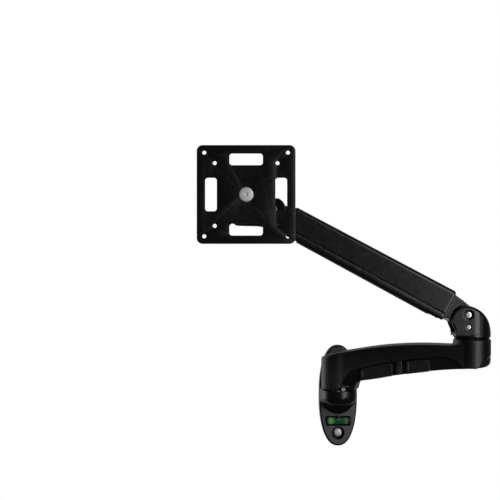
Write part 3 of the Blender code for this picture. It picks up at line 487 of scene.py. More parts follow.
def soften(obj, width=0.4, segments=3, angle=28):
    """Rounds sharp edges with a true bevel, and shades the rest flat."""
    weld = obj.modifiers.new("weld", "WELD")
    weld.merge_threshold = 0.000004
    bevel = obj.modifiers.new("bevel", "BEVEL")
    bevel.width = width * MM
    bevel.segments = segments
    bevel.limit_method = "ANGLE"
    bevel.angle_limit = math.radians(angle)
    bevel.harden_normals = False
    settle(obj)
    obj.data.shade_smooth()
    obj.data.set_sharp_from_angle(angle=math.radians(35))
    return obj


def shaded(obj, angle=35):
    obj.data.shade_smooth()
    obj.data.set_sharp_from_angle(angle=math.radians(angle))
    return obj


def finished(obj, node, material):
    """obj stands for the CAD node, on its body."""
    obj.data.materials.clear()
    obj.data.materials.append(MATERIALS[material])
    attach(obj, BODY[node])
    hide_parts(node)
    return obj


# ---------------------------------------------------------------------- camera

LENS = 89.3
CAMERA_PLACE = (-0.1137, -1.614, 0.188)  # level with the arm, and looking straight at the wall
camera_data = bpy.data.cameras.new("camera")
camera_data.lens = LENS
camera_data.sensor_width = 36.0
camera_data.clip_start = 0.05
camera_data.clip_end = 50.0
camera = new_object("camera", camera_data)
camera.location = CAMERA_PLACE
camera.rotation_euler = (math.radians(90), 0, 0)
bpy.context.scene.camera = camera

# ---------------------------------------------------------------- wall bracket

PLATE = (24.6, 65.0, 2.3, 12.0)  # half width, half height, squareness, thickness
BRACKET_TOP = 10.3
PLATE_RIM = 3.0
SCREW_Z, LEVEL_Z = 48.0, -32.7


def oval(inset, steps=144):
    half_width, half_height, squareness, _ = PLATE
    points = []
    for i in range(steps):
        a = 2 * math.pi * i / steps
        c, s = math.cos(a), math.sin(a)
        points.append(((half_width - inset) * math.copysign(abs(c) ** (2 / squareness), c),
                       (half_height - inset) * math.copysign(abs(s) ** (2 / squareness), s)))
    return points


def wall_plate():
    """An oval plate whose front rim is rounded over."""
    depth = PLATE[3]
    rim = PLATE_RIM
    layers = [(0.4, 0.0), (0.0, -0.4), (0.0, rim - depth)]
    for i in range(1, 9):
        a = math.radians(90 * i / 8)
        layers.append((rim - rim * math.cos(a), rim - depth - rim * math.sin(a)))
    bm = bmesh.new()
    rings = [[bm.verts.new((x * MM, y * MM, z * MM)) for x, z in oval(inset)] for inset, y in layers]
    skin(bm, rings)
    bm.faces.new(rings[0])
    bm.faces.new(rings[-1])
    return from_bmesh("wall_bracket_cast", bm, WALL)


def bracket_neck():
    """The arm's seat: a thick tongue, deeply rounded below, that sweeps down into the plate."""
    hub, rounding = 22.1, 10.0
    front = hub - HUB_Y
    below = smooth_line([(3, -14.8), (12, -13.6), (18, -10.8), (26, -8.6), (36, -7.6), (48, -7.4), (62, -7.4)], 5)
    sides = [(3, 24.2), (10, 24.1), (18, 23.4), (28, 22.6), (39, hub)]
    spots = [(x, between(sides, x)) for x in range(3, 39, 3)]
    spots += [(-HUB_Y + hub * math.sin(math.radians(d)), hub * math.cos(math.radians(d)))
              for d in (0, 10, 20, 29, 37, 45, 52, 58, 64, 69, 74, 78, 81, 84, 86, 88)]
    stations = [(x, half, between(below, x) + eased(front - x, rounding), 40.0, rounding) for x, half in spots]
    neck = loft("neck", frame_at((0, 0, 0), turn(-90, "Z")), stations, 10)
    keep(neck, box("neck_trim", WALL, (-30, -70, -30), (30, -3.5, BRACKET_TOP)))
    return neck


def make_bracket():
    bracket = wall_plate()
    under = prism("under_neck", WALL, [(-3, -4), (-33, -4), *smooth_line([
        (-31, -7.5), (-24, -9.6), (-18, -14.5), (-14, -21), (-12.6, -25.5)], 8), (-3, -28)], -30, 30, "section")
    keep(under, prism("under_front", WALL, [(20 * math.cos(a), -4 + 19.4 * math.sin(a)) for a in (
        math.radians(180 + 180 * i / 64) for i in range(65))], -40, 0, "side"))
    join(bracket, bracket_neck(), under)
    tools = [prism("pocket", WALL, rounded_box((-16, LEVEL_Z - 6.15), (16, LEVEL_Z + 6.15), 2.5), -30, -5,
                   "side")]
    drop = [(8.0 * math.cos(a), 8.3 * math.sin(a) - 0.3) for a in (math.radians(5 * i) for i in range(72))]
    for sign in (-1, 1):
        z = sign * SCREW_Z
        tools.append(prism(f"recess_{sign}", WALL, [(x, z + y) for x, y in drop], -30, -4.2, "side"))
        tools.append(rod(f"hole_{sign}", WALL, 2.9, -10, 3, (0, z), "Y"))
    tools.append(lathe("bore", WALL, [(0, -20), (13.5, -20), (13.5, 1.5), (8.8, 1.5), (8.8, 9.3), (16.0, 9.3),
                                      (16.0, 30), (0, 30)], 90, centre=(0, HUB_Y, 0)))
    cut(bracket, *tools)
    cast(bracket, 0.45, 4, 0.5)
    finished(bracket, "wall_bracket", "bracket")


make_bracket()

# -------------------------------------------------------------- extension arm

LOW, TOP = 11.0, 78.8
STOP_PLACE = (7.7, 12.9)
HUB = 23.2
BEAM = 22.0
TOP_LINE = smooth_line([(-24, 52.2), (-19, 53.7), (-8.6, 56.5), (3, 59.3), (22.6, 62.9), (42, 66.2), (61, 68.7),
                        (80, 70.3), (99, 71.2), (118, 71.3), (136, 70.9), (150, 71.0), (190, 71.0)], 6)
LOW_LINE = [(-24, LOW), (21.5, LOW), (24.5, 21.5), *smooth_line([
    (30, 24.7), (48.8, 27.6), (67.5, 31.2), (86, 34.2), (104.6, 36.8), (123, 39.4), (141, 41.1), (153, 41.8),
    (166, 42.8), (190, 42.8)], 6)]
ARCH = [(4, 18.5), *smooth_line([
    (5.5, 21.5), (9, 27.5), (15, 34), (23.6, 38.5), (42.5, 43.9), (56, 46.7), (71.6, 49.7), (93.5, 52.5),
    (112, 54.5), (125.4, 56.0), (139, 55.3), (149, 51.4), (154.5, 45.3), (156.5, 38.0)], 6)]


def raised(points, dz):
    return [(x, z + dz) for x, z in points]


def make_extension():
    stations = []
    for degrees in (3, 7, 12, 18, 25, 33, 42, 52, 64, 77, 90):
        a = math.radians(degrees)
        x = -HUB * math.cos(a)
        stations.append((x, HUB * math.sin(a), LOW,
                         between(TOP_LINE, x) - eased(HUB * (1 - math.cos(a)), 3.4), 3.4))
    s = 3.0
    while s < 148:
        half = max(BEAM, math.sqrt(max(0.0, HUB ** 2 - s ** 2)) if s < HUB else 0)
        stations.append((s, half, between(LOW_LINE, s), between(TOP_LINE, s), 3.4))
        s += 3.0 if not 20 < s < 26 else 1.0
    stations += [(152, BEAM, between(LOW_LINE, 152), 71.0, 3.4), (158, BEAM, between(LOW_LINE, 158), 71.0, 2.0)]
    for degrees in (90, 77, 64, 52, 42, 33, 25, 18, 12, 7, 3):
        a = math.radians(degrees)
        x = REACH + (HUB - 0.5) * math.cos(a)
        stations.append((x, (HUB - 0.5) * math.sin(a), 43.0, 70.0, 1.0))
    casting = loft("extension_arm_casting", EXTENSION, stations)
    boss = lathe("elbow_boss", EXTENSION, [
        (0, 42.8), (HUB - 1.6, 42.8), (HUB - 0.5, 43.3), (HUB, 44.4), (HUB, TOP - 2.4), (HUB - 0.5, TOP - 1.0),
        (HUB - 1.9, TOP), (0, TOP)], 96, centre=(REACH, 0, 0))
    skirt = lathe("boss_foot", EXTENSION, [
        (0, 60), (HUB + 1.0, 66), (HUB + 3.2, 69.5), (HUB + 1.5, 71.3), (HUB + 0.5, 73.2), (HUB - 1.5, 75.2),
        (0, 75.2)], 80, centre=(REACH, 0, 0))
    inside = prism("boss_foot_side", EXTENSION, [(REACH - 30, -BEAM), (REACH - 2, -BEAM), (REACH - 2, BEAM),
                                                 (REACH - 30, BEAM)], 50, 80)
    keep(skirt, inside)
    join(casting, boss, skirt)
    recess = [(4, 5), *ARCH, (156.5, 5)]
    tools = [prism(f"recess_{sign}", EXTENSION, recess, low, high, "side")
             for sign, low, high in either_side(17.0, 40)]
    roof = raised([p for p in ARCH if 24.6 < p[0] < 141], -1.5)
    near = [(24.5, 0), (24.5, 37.0), *[p for p in roof if p[0] < 75], (75.2, 48.6), (75.2, 0)]
    far = [(79.4, 0), (79.4, 49.2), *[p for p in roof if p[0] > 80], (143.5, 50), (143.5, 0)]
    tools += [prism("channel_near", EXTENSION, near, -13.5, 13.5, "side"),
              prism("channel_far", EXTENSION, far, -13.5, 13.5, "side")]
    cut(casting, *tools)
    seats = []
    for start, end in ((29.5, 70.5), (86.5, 116.5)):
        seat = [(start, between(LOW_LINE, start) + 3.2), (end, between(LOW_LINE, end) + 3.2), (end, 5), (start, 5)]
        seats.append(prism("seat", EXTENSION, seat, -40, 40, "side"))
    cut(casting, *seats)
    rib = prism("cross_rib", EXTENSION, [(74.6, between(LOW_LINE, 75) + 0.2), (80.0, between(LOW_LINE, 80) + 0.2),
                                         (80.0, 51.0), (74.6, 50.4)], -20.4, 20.4, "side")
    collar = lathe("collar", EXTENSION, [(0, LOW + 0.2), (19.6, LOW + 0.2), (20.3, LOW + 0.9), (22.2, 16.2),
                                         (22.4, 17.2), (21.4, 18.0), (17.4, 18.4), (0, 18.6)], 96)
    join(casting, rib, collar)
    cut(casting,
        rod("wall_bore", EXTENSION, 7.3, 0, 39),
        rod("stop_hole", EXTENSION, 2.3, -40, -10, STOP_PLACE, "Y"),
        prism("stop_notch", EXTENSION, [*arc((STOP_PLACE[0], 8.2), 8.0, 38, 142, 14),
                                        *arc((STOP_PLACE[0], 17.6), 8.0, 218, 322, 14)], -40, -14.0, "side"),
        lathe("elbow_bore", EXTENSION, [(0, 30), (15.0, 30), (15.0, 58.2), (9.4, 58.2), (9.4, 77.7), (15.5, 77.7),
                                        (15.5, 90), (0, 90)], 90, centre=(REACH, 0, 0)),
        prism("elbow_corner", EXTENSION, [(REACH + 8.0, 42.8), (REACH + 36, 70.8), (REACH + 36, 20),
                                          (REACH + 8.0, 20)], -40, 40, "side"))
    cast(casting, 0.6, 4, 0.35)
    finished(casting, "extension_casting", "casting_paint_painted_light")


make_extension()


def make_clip(node, start, end):
    """A U-shaped cable clip pressed into the arm's channel, flush with its lower edge."""
    under = [(x, between(LOW_LINE, x)) for x in (start + (end - start) * i / 10 for i in range(11))]
    top = [p for p in raised(ARCH, -1.3) if start < p[0] < end - 5]
    crown = between(ARCH, end - 4) - 1.3
    corner = arc((end - 4.2, crown - 4.0), 4.0, 80, 0, 8)
    outline = [*under, *reversed(corner), *reversed(top), (start, between(ARCH, start) - 1.3)]
    clip = prism(node + "_moulded", EXTENSION, outline, -20.5, 20.5, "side")
    floor = [(x, z + 2.4) for x, z in under]
    floor = [(start - 1, floor[0][1]), *floor[1:-1], (end + 1, floor[-1][1])]
    inside = prism("clip_inside", EXTENSION, [*floor, (end + 1, 90), (start - 1, 90)], -17.4, 17.4, "side")
    slit_x = (start + end) / 2
    slit = box("clip_slit", EXTENSION, (start - 1, -1.2, 0), (end + 1, 1.2, between(LOW_LINE, start) + 12))
    panel = []
    for _, low, high in either_side(20.05, 25):
        middle = [(start + 3, between(LOW_LINE, start + 3) + 3.6), (end - 3.4, between(LOW_LINE, end - 3.4) + 3.6),
                  (end - 3.4, between(ARCH, end - 3) - 5.2), (slit_x, between(ARCH, slit_x) - 3.6),
                  (start + 3, between(ARCH, start + 3) - 4.2)]
        panel.append(prism("clip_panel", EXTENSION, middle, low, high, "side"))
    cut(clip, inside, slit, *panel)
    cast(clip, 0.4, 4, 0.45)
    finished(clip, node, "black_plastic")


make_clip("cable_clip_near", 30, 70)
make_clip("cable_clip_far", 87, 116)


def make_elbow_cap():
    cap = lathe("elbow_cap_moulded", EXTENSION, [
        (0, 70), (HUB - 0.3, 70), (HUB - 0.3, 52), (22.4, 48.8), (20.8, 46.2), (18.4, 44.3), (15.0, 43.2),
        (12.0, 42.9), (0, 42.9)], 96, centre=(REACH, 0, 0))
    keep(cap, prism("cap_wedge", EXTENSION, [(REACH + 8.6, 42.9), (REACH + 36.6, 70.9), (REACH + 36, 20),
                                             (REACH + 8.6, 20)], -40, 40, "side"))
    join(cap, rod("cap_plug", EXTENSION, 14.6, 42.9, 45.6, (REACH, 0)))
    cast(cap, 0.4, 3, 0.5)
    finished(cap, "elbow_cap", "glossy_plastic")


make_elbow_cap()

# --------------------------------------------------------------- elbow knuckle

DOME = (13.9, 84.1, 36.5)
KNUCKLE_LOW = 79.4
LINK_DROP = 15.0  # from the lift pin down to the link pins
TENSION_X = -8.5


def dome_height(x):
    return DOME[1] + math.sqrt(max(0.0, DOME[2] ** 2 - (DOME[0] - x) ** 2))


def make_knuckle():
    stations = []
    for degrees in (3, 7, 12, 18, 25, 33, 42, 52, 64, 77, 90):
        a = math.radians(degrees)
        x = -23.0 * math.cos(a)
        stations.append((x, 22.5 * math.sin(a), KNUCKLE_LOW + 0.1, max(88.0, dome_height(x)), 5.0))
    for x in (3, 6, 9, 12, 14, 16, 18, 20, 22.8):
        stations.append((x, 22.5 - 0.012 * x, KNUCKLE_LOW + 0.1, dome_height(x) - eased(28.2 - x, 15.0), 5.0))
    for x, low in ((23.6, 88.4), (24.6, 90.8), (26, 93.6), (27.2, 96.8), (28.0, 101)):
        stations.append((x, 22.5 - 0.012 * x, low, dome_height(x) - eased(28.2 - x, 15.0), 4.0))
    knuckle = loft("elbow_knuckle_casting", ELBOW, stations)
    base = lathe("knuckle_base", ELBOW, [
        (0, KNUCKLE_LOW), (21.4, KNUCKLE_LOW), (22.6, KNUCKLE_LOW + 1.1), (23.0, KNUCKLE_LOW + 2.3), (23.0, 84.4),
        (0, 84.4)], 96)
    under = lathe("knuckle_under", ELBOW, [
        (30, 70), (30, KNUCKLE_LOW + 2.6), (23.2, KNUCKLE_LOW + 2.6), (22.6, KNUCKLE_LOW + 1.1),
        (21.4, KNUCKLE_LOW - 0.2), (21.4, 70)], 96, closed=True)
    cut(knuckle, under)
    join(knuckle, base)
    recesses = [rod(f"pin_recess_{sign}", ELBOW, 6.2, low, high, (PIVOT_X, PIVOT_HEIGHT), "Y")
                for sign, low, high in either_side(21.7, 40)]
    link_z = PIVOT_HEIGHT - LINK_DROP
    cut(knuckle,
        prism("slot", ELBOW, rounded_box((-3.2, 86.0), (70, 150), 2.0), -17, 17, "side"),
        box("pocket", ELBOW, (-15.2, -9.5, 86.0), (0, 9.5, 104.9)),
        rod("bore", ELBOW, 7.25, 70, 90), rod("head_seat", ELBOW, 10.6, 82.0, 90),
        rod("tension_hole", ELBOW, 3.4, 100, 130, (TENSION_X, 0)),
        rod("lift_hole", ELBOW, 4.2, -40, 40, (PIVOT_X, PIVOT_HEIGHT), "Y"),
        rod("link_hole", ELBOW, 3.2, -40, 40, (PIVOT_X, link_z), "Y"), *recesses)
    cast(knuckle, 0.5, 4, 0.4)
    finished(knuckle, "elbow_knuckle", "black_paint")


make_knuckle()

# ---------------------------------------------------------------- small pieces

def bar(radius, low, high, edge=0.5):
    """The outline of a round bar with rounded ends."""
    return [(0, low), *arc((radius - edge, low + edge), edge, -90, 0, 4),
            *arc((radius - edge, high - edge), edge, 0, 90, 4), (0, high)]


def thread(radius, low, high, pitch=1.0, depth=0.35):
    """The ridges of a thread, from low up to high."""
    ridges = int((high - low) / pitch)
    points = []
    for i in range(ridges):
        points += [(radius - depth, low + i * pitch), (radius, low + (i + 0.5) * pitch)]
    return [*points, (radius - depth, low + ridges * pitch)]


def socket(home, across, low, high, at, axis, sides=6):
    """A cutter for a hexagon socket along an axis of its frame."""
    if axis == "Z":
        return prism("socket", home, polygon(across, sides, at, 30), low, high)
    return prism("socket", home, polygon(across, sides, at, 30), low, high, "side" if axis == "Y" else "section")


def turned(node, home, profile, material, axis="Z", at=(0, 0, 0), tools=(), sides=72, closed=False):
    """A turned piece that stands for a CAD node, with whatever is cut out of it."""
    piece = lathe(node + "_turned", home, profile, sides, axis, at, closed)
    if tools:
        cut(piece, *tools)
    return finished(shaded(piece), node, material)


def washer(node, home, inner, outer, low, high, material, axis="Z", at=(0, 0, 0), edge=0.25):
    profile = rounded_box((inner, low), (outer, high), min(edge, (high - low) * 0.45), 4)
    return turned(node, home, profile, material, axis, at, closed=True)


def pin_profile(radius, half, edge=0.6):
    """A pin with rounded ends and a turned dimple in each."""
    end = [(0, half - 0.9), (1.1, half - 0.9), (1.7, half), *arc((radius - edge, half - edge), edge, 90, 0, 4)]
    return [*[(r, -z) for r, z in end], *reversed(end)]


# --------------------------------------------------------- wall bracket's pieces

def make_wall_screws():
    for name, side in (("upper", 1), ("lower", -1)):
        z = side * SCREW_Z
        head = smooth_line([(5.3, 0.4), (4.8, 1.45), (3.5, 2.4), (1.8, 2.82), (0, 2.9)], 5)
        profile = [(0, -5.6), (2.1, -5.6), *thread(2.5, -5.2, -0.8, 0.9, 0.3), (2.3, -0.6), (5.1, -0.6),
                   (5.3, -0.35), *head]
        cross = []
        for angle in (20, 110):
            blade = prism("blade", frame_at((0, -5.9, z), turn(90, "X") @ turn(angle, "Z")),
                          [(-2.9, 3.2), (2.9, 3.2), (1.2, 0.7), (-1.2, 0.7)], -0.5, 0.5, "side")
            cross.append(blade)
        turned(f"wall_screw_{name}", WALL, profile, "zinc", "-Y", (0, -5.9, z), cross, 80)
        washer(f"wall_washer_{name}", WALL, 2.9, 7.2, -0.5, 0.5, "dark_steel", "Y", (0, -4.7, z))


def make_level():
    """The spirit level: a clear tube with two black lines, green fluid with a bubble in it, and two end plugs."""
    centre = (0, -10.4, LEVEL_Z)
    tube = [(2.9, -12.2), *arc((3.4, -11.4), 0.8, -90, 0, 4), *arc((3.4, 11.4), 0.8, 0, 90, 4), (2.9, 12.2)]
    turned("level_vial", WALL, tube, "clear_acrylic", "X", centre, sides=64, closed=True)
    bubble = lathe("bubble", WALL, [(0, -5.2), *[(1.7 * math.sin(math.radians(a)), -5.2 * math.cos(math.radians(a)))
                                                for a in range(15, 180, 15)], (0, 5.2)], 40, "X",
                   (-0.4, -11.5, LEVEL_Z + 1.2))
    turned("level_fluid", WALL, bar(2.7, -10.2, 10.2, 1.4), "green_fluid", "X", centre, [bubble], 64)
    for x in (-3.4, 3.4):
        line = lathe(f"level_line_{'left' if x < 0 else 'right'}", WALL,
                     rounded_box((4.15, x - 0.25), (4.32, x + 0.25), 0.06, 2), 64, "X", centre, True)
        line.data.materials.append(MATERIALS["black_plastic"])
        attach(shaded(line), BODY["level_vial"])
    # A pale green lens on the front of the tube is a painted glint: it stands for the light caught at the bubble's
    # ends.
    half_bubble = [(0.95 * math.sin(math.radians(a)), -2.7 * math.cos(math.radians(a))) for a in range(0, 181, 12)]
    painted_glint = lathe("level_bubble_painted_glint", WALL, half_bubble, 32, "X", (0, -13.8, LEVEL_Z + 2.2))
    pointer = prism("level_pointer", WALL, [(-2.6, LEVEL_Z + 6.2), (-1.9, LEVEL_Z + 4.2), (0, LEVEL_Z + 2.6),
                                            (1.9, LEVEL_Z + 4.2), (2.6, LEVEL_Z + 6.2)], -15.2, -11.0, "side")
    for piece, look, slot in ((painted_glint, "bubble", "green_fluid"), (pointer, "glossy_plastic", "black_plastic")):
        piece.data.materials.append(MATERIALS[look])
        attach(soften(piece, 0.3, 3) if piece is pointer else shaded(piece), BODY["level_vial"])
    for name, sign in (("left", -1), ("right", 1)):
        near, far = sorted((sign * 12.6, sign * 14.8))
        plug = [(0, near), *arc((4.6, near + 0.4), 0.4, -90, 0, 3), *arc((4.6, far - 0.4), 0.4, 0, 90, 3), (0, far)]
        turned(f"level_cap_{name}", WALL, plug, "grey_plastic", "X", centre)


def make_wall_pivot():
    at = (0, HUB_Y, 0)
    washer("wall_bush", WALL, 7.3, 8.5, 1.8, 9.0, "nylon", at=at)
    washer("wall_thrust_washer", WALL, 7.4, 15.7, 9.45, 10.75, "nylon", at=at)
    turned("wall_hub_cap", WALL, [(0, -5.0), (3.0, -5.0), (3.5, -5.4), *arc((12.5, -4.7), 0.7, -90, 0, 5),
                                  (13.2, -4.0), (0, -4.0)], "black_plastic", at=at)
    bolt = [(0, -3.5), *arc((10.0, -2.7), 0.8, -90, 0, 5), (10.8, 0.0), (7.0, 0.0), (7.0, 16.0),
            *thread(7.0, 16.5, 34.5, 1.5, 0.5), (5.8, 36), (0, 36)]
    turned("wall_pivot_bolt", EXTENSION, bolt, "steel", tools=[socket(EXTENSION, 4.6, -10, -0.6, (0, 0), "Z")])
    washer("wall_bolt_washer", EXTENSION, 7.3, 12.2, 0.25, 1.2, "steel")
    x, z = STOP_PLACE
    turned("stop_screw", EXTENSION, bar(2.0, -18.6, -10.4, 0.45), "zinc", "Y", (x, 0, z),
           [socket(EXTENSION, 1.0, -30, -16.8, STOP_PLACE, "Y")], 48)


# ------------------------------------------------------------ elbow's inner pieces

def make_elbow_pivot():
    at = (REACH, 0, 0)
    washer("elbow_bush", EXTENSION, 7.3, 9.1, 58.6, 77.4, "nylon", at=at)
    washer("elbow_thrust_washer", EXTENSION, 7.4, 15.2, 77.95, 79.2, "nylon", at=at)
    bolt = [(0, 47.8), (6.2, 47.8), *thread(7.0, 48.4, 58.5, 1.5, 0.5), (7.0, 59.0), (7.0, 82.3), (10.3, 82.3),
            *arc((9.5, 84.7), 0.8, 0, 90, 5), (0, 85.5)]
    turned("elbow_bolt", ELBOW, bolt, "steel", tools=[socket(ELBOW, 4.6, 83.0, 95, (0, 0), "Z")])
    nut = prism("elbow_nut_forged", ELBOW, polygon(12.0, 6), 49.4, 55.6)
    keep(nut, lathe("nut_chamfer", ELBOW, [(0, 49.4), (10.5, 49.4), (12.2, 50.3), (12.2, 54.7), (10.5, 55.6),
                                           (0, 55.6)], 96))
    cut(nut, rod("nut_bore", ELBOW, 7.25, 40, 60, sides=72))
    finished(shaded(nut), "elbow_nut", "steel")
    spring = lathe("elbow_spring_washer_turned", ELBOW, rounded_box((7.3, 55.9), (13.6, 57.9), 0.3, 3), 72,
                   closed=True)
    split = box("split", frame_at((elbow_axis.x, elbow_axis.y, 0), turn(25, "Z")), (5, -0.7, 50), (16, 0.7, 60))
    finished(shaded(cut(spring, split)), "elbow_spring_washer", "dark_steel")


def make_lift_pins():
    link_height = PIVOT_HEIGHT - LINK_DROP
    turned("lift_pin_lower", ELBOW, pin_profile(3.9, 21.6), "bright_steel", "Y", (PIVOT_X, 0, PIVOT_HEIGHT))
    for name, side in (("front", 1), ("rear", -1)):
        turned(f"link_pin_lower_{name}", ELBOW, pin_profile(2.9, 6.2, 0.4), "bright_steel", "Y",
               (PIVOT_X, side * 15.4, link_height))
    turned("lift_pin_upper", END, pin_profile(3.9, 21.0), "bright_steel", "Y")
    turned("link_pin_upper", END, pin_profile(2.9, 21.0, 0.4), "bright_steel", "Y", (0, 0, -LINK_DROP))


def make_tension():
    """The tension screw and the block on it that carries the strut's near end."""
    profile = [(0, 88.0), (2.2, 88.0), *thread(3.0, 88.4, 101.4, 1.25, 0.4), (3.0, 102.0),
               *arc((5.2, 102.4), 0.4, -90, 0, 3), *arc((5.2, 104.2), 0.4, 0, 90, 3), (3.0, 104.6), (3.0, 112.0),
               (2.6, 112.4), (0, 112.4)]
    turned("tension_screw", ELBOW, profile, "bright_steel", at=(TENSION_X, 0, 0),
           tools=[socket(ELBOW, 1.9, 108.6, 120, (TENSION_X, 0), "Z")])
    eye_x, eye_z = EYE
    block = box("strut_slider_machined", ELBOW, (-14.6, -8.6, eye_z - 5.2), (eye_x + 4.8, 8.6, eye_z + 5.2))
    cut(block, box("fork", ELBOW, (-2.4, -5.2, eye_z - 20), (40, 5.2, eye_z + 20)),
        rod("thread_hole", ELBOW, 3.3, 80, 120, (TENSION_X, 0)),
        rod("pin_hole", ELBOW, 2.8, -40, 40, (eye_x, eye_z), "Y"))
    finished(cast(block, 0.3, 5, 0.4), "strut_slider", "steel")
    turned("slider_pin", ELBOW, pin_profile(2.5, 8.4, 0.4), "bright_steel", "Y", (eye_x, 0, eye_z))


# ------------------------------------------------------------ gas-spring arm

SHELL_START, SHELL_END = 25.0, 248.0
STRUT_FAR = (190.0, 0.0)


def shell_half(x):
    return 22.0 - 1.6 * (x - SHELL_START) / (SHELL_END - SHELL_START)


def make_shell():
    stations = []
    spots = [SHELL_START + d for d in (0, 0.3, 0.8, 1.5, 2.4, 3.5)]
    spots += [SHELL_START + 3.5 + (SHELL_END - SHELL_START - 7) * i / 24 for i in range(1, 24)]
    spots += [SHELL_END - d for d in (3.5, 2.4, 1.5, 0.8, 0.3, 0)]
    for x in spots:
        t = (x - SHELL_START) / (SHELL_END - SHELL_START)
        inset = eased(min(x - SHELL_START, SHELL_END - x), 3.5)
        stations.append((x, shell_half(x) - inset * 0.3, -22.5, 18.0 - 2.6 * t - inset, 5.0))
    shell = loft("spring_arm_shell_cast", SPRING, stations, 8)
    seams = []
    for sign in (-1, 1):
        line = [(SHELL_START - 2, sign * (shell_half(SHELL_START) - 0.9)),
                (SHELL_END + 2, sign * (shell_half(SHELL_END) - 0.9)), (SHELL_END + 2, sign * 30),
                (SHELL_START - 2, sign * 30)]
        seams.append(prism(f"seam_{sign}", SPRING, line, -13.7, -12.4))
    cut(shell, box("flat", SPRING, (0, -40, -40), (300, 40, -21.0)), *seams,
        prism("inside", SPRING, [(20, -30), (20, 14.6), (240, 12.2), (244, 8.0), (244, -30)], -17.4, 17.4, "side"),
        box("end_window", SPRING, (240, -14.0, -40), (260, 14.0, -4.0)))
    far = SPRING_LENGTH
    near_cheek = [*arc((0, 0), 10.5, -60, -280, 40), (12, 12.5), (27, 14.5), (40, 14.5), (40, -18), (26, -18),
                  (14, -13.5)]
    far_cheek = [*arc((far, 0), 10.5, 110, -110, 40), (far - 9, -6.5), (far - 14.6, -6.0), (far - 15.6, -18),
                 (228, -18), (228, 12.5), (far - 22, 12.5), (far - 12, 10.8)]
    for (sign, low, high), (_, wide_low, wide_high) in zip(either_side(13.2, 16.6), either_side(13.2, 18.2)):
        join(shell, prism(f"near_cheek_{sign}", SPRING, near_cheek, low, high, "side"),
             prism(f"far_cheek_{sign}", SPRING, far_cheek, low, high, "side"),
             box(f"near_root_{sign}", SPRING, (28.5, wide_low, -17.5), (39.5, wide_high, 14.4)),
             box(f"far_root_{sign}", SPRING, (228.5, wide_low, -17.5), (242, wide_high, 12.2)),
             rod(f"strut_boss_{sign}", SPRING, 8.0, wide_low, wide_high, STRUT_FAR, "Y"))
    cut(shell, rod("near_hole", SPRING, 4.3, -19, 19, (0, 0), "Y"),
        rod("far_hole", SPRING, 4.3, -19, 19, (far, 0), "Y"),
        rod("strut_hole", SPRING, 3.8, -17.9, 17.9, STRUT_FAR, "Y"))
    finished(cast(shell, 0.55, 4, 0.3), "spring_arm_shell", "black_paint")
    turned("strut_pin_far", SPRING, pin_profile(3.5, 17.6), "bright_steel", "Y", (STRUT_FAR[0], 0, STRUT_FAR[1]))


def make_bottom_cover():
    """The snap-in cover under the arm, with a ribbed thumb grip at each end and two countersinks for screws."""
    cover = prism("arm_bottom_cover_moulded", SPRING, rounded_box((42, -17), (226, 17), 2.5), -22.4, -20.8)
    tools = [box(f"groove_{i}", SPRING, (start + 2.6 * i, -9, -23), (start + 2.6 * i + 1.2, 9, -21.9))
             for start in (50, 206.4) for i in range(6)]
    tools += [lathe(f"countersink_{x}", SPRING, [(0, -23), (3.4, -23), (3.4, -22.3), (1.6, -21.2), (1.6, -20),
                                                 (0, -20)], 48, centre=(x, 0, 0)) for x in (84, 184)]
    cut(cover, *tools)
    finished(cast(cover, 0.32, 3, 0.4), "arm_bottom_cover", "black_plastic")


def make_link():
    """A pressed channel with an eye at each end."""
    far = SPRING_LENGTH
    link = prism("parallel_link_pressed", LINK, [*arc((0, 0), 5, 90, 270, 24), *arc((far, 0), 5, -90, 90, 24)],
                 -12.6, 12.6, "side")
    cut(link, box("trough", LINK, (100, -9.6, -3.0), (238, 9.6, 40)),
        box("gap_near", LINK, (-20, -9.6, -40), (100.01, 9.6, 40)),
        box("gap_far", LINK, (237.9, -9.6, -40), (300, 9.6, 40)),
        rod("hole_near", LINK, 3.2, -40, 40, (0, 0), "Y"), rod("hole_far", LINK, 3.2, -40, 40, (far, 0), "Y"))
    finished(cast(link, 0.45, 3, 0.3), "parallel_link", "steel")


def make_strut():
    """The gas spring: a painted tube with a rolled neck, a polished rod, and an eye on each end."""
    mouth = STRUT_LENGTH - 35.0
    tube = [(0, 4), (5.0, 4), (5.0, 11.0), (6.6, 12.0), *arc((7.0, 13.0), 1.0, -60, 0, 4), (8.0, mouth - 12),
            *arc((8.5, mouth - 11), 1.0, 200, 160, 4), (8.0, mouth - 10), (8.0, mouth - 1.6),
            *arc((6.6, mouth - 1.4), 1.4, 0, 90, 5), (0, mouth)]
    body = lathe("strut_cylinder_drawn", STRUT, tube, 96, "X")
    join(body, lathe("tube_eye", STRUT, bar(7.4, -6.0, 6.0, 0.7), 72, "Y"))
    cut(body, rod("eye_hole", STRUT, 3.8, -10, 10, (0, 0), "Y"),
        rod("bore", STRUT, 3.3, 60, mouth + 10, (0, 0), "X"))
    finished(shaded(body), "strut_cylinder", "tube_paint")
    shaft = lathe("strut_rod_polished", STRUT, bar(3.0, 100, STRUT_LENGTH - 6.0, 0.4), 72, "X")
    join(shaft, lathe("rod_eye", STRUT, bar(7.3, -4.5, 4.5, 0.6), 72, "Y", (STRUT_LENGTH, 0, 0)))
    cut(shaft, rod("rod_eye_hole", STRUT, 5.0, -10, 10, (STRUT_LENGTH, 0), "Y"))
    finished(shaded(shaft), "strut_rod", "bright_steel")


# --------------------------------------------------------------- screen head

BOSS_TOP = 2.0
SCREEN_RISE = 16.25
PAN_REACH = 34.0
TILT_REACH = 28.0
PLATE_REACH = 24.5
VESA_HALF = 59.0


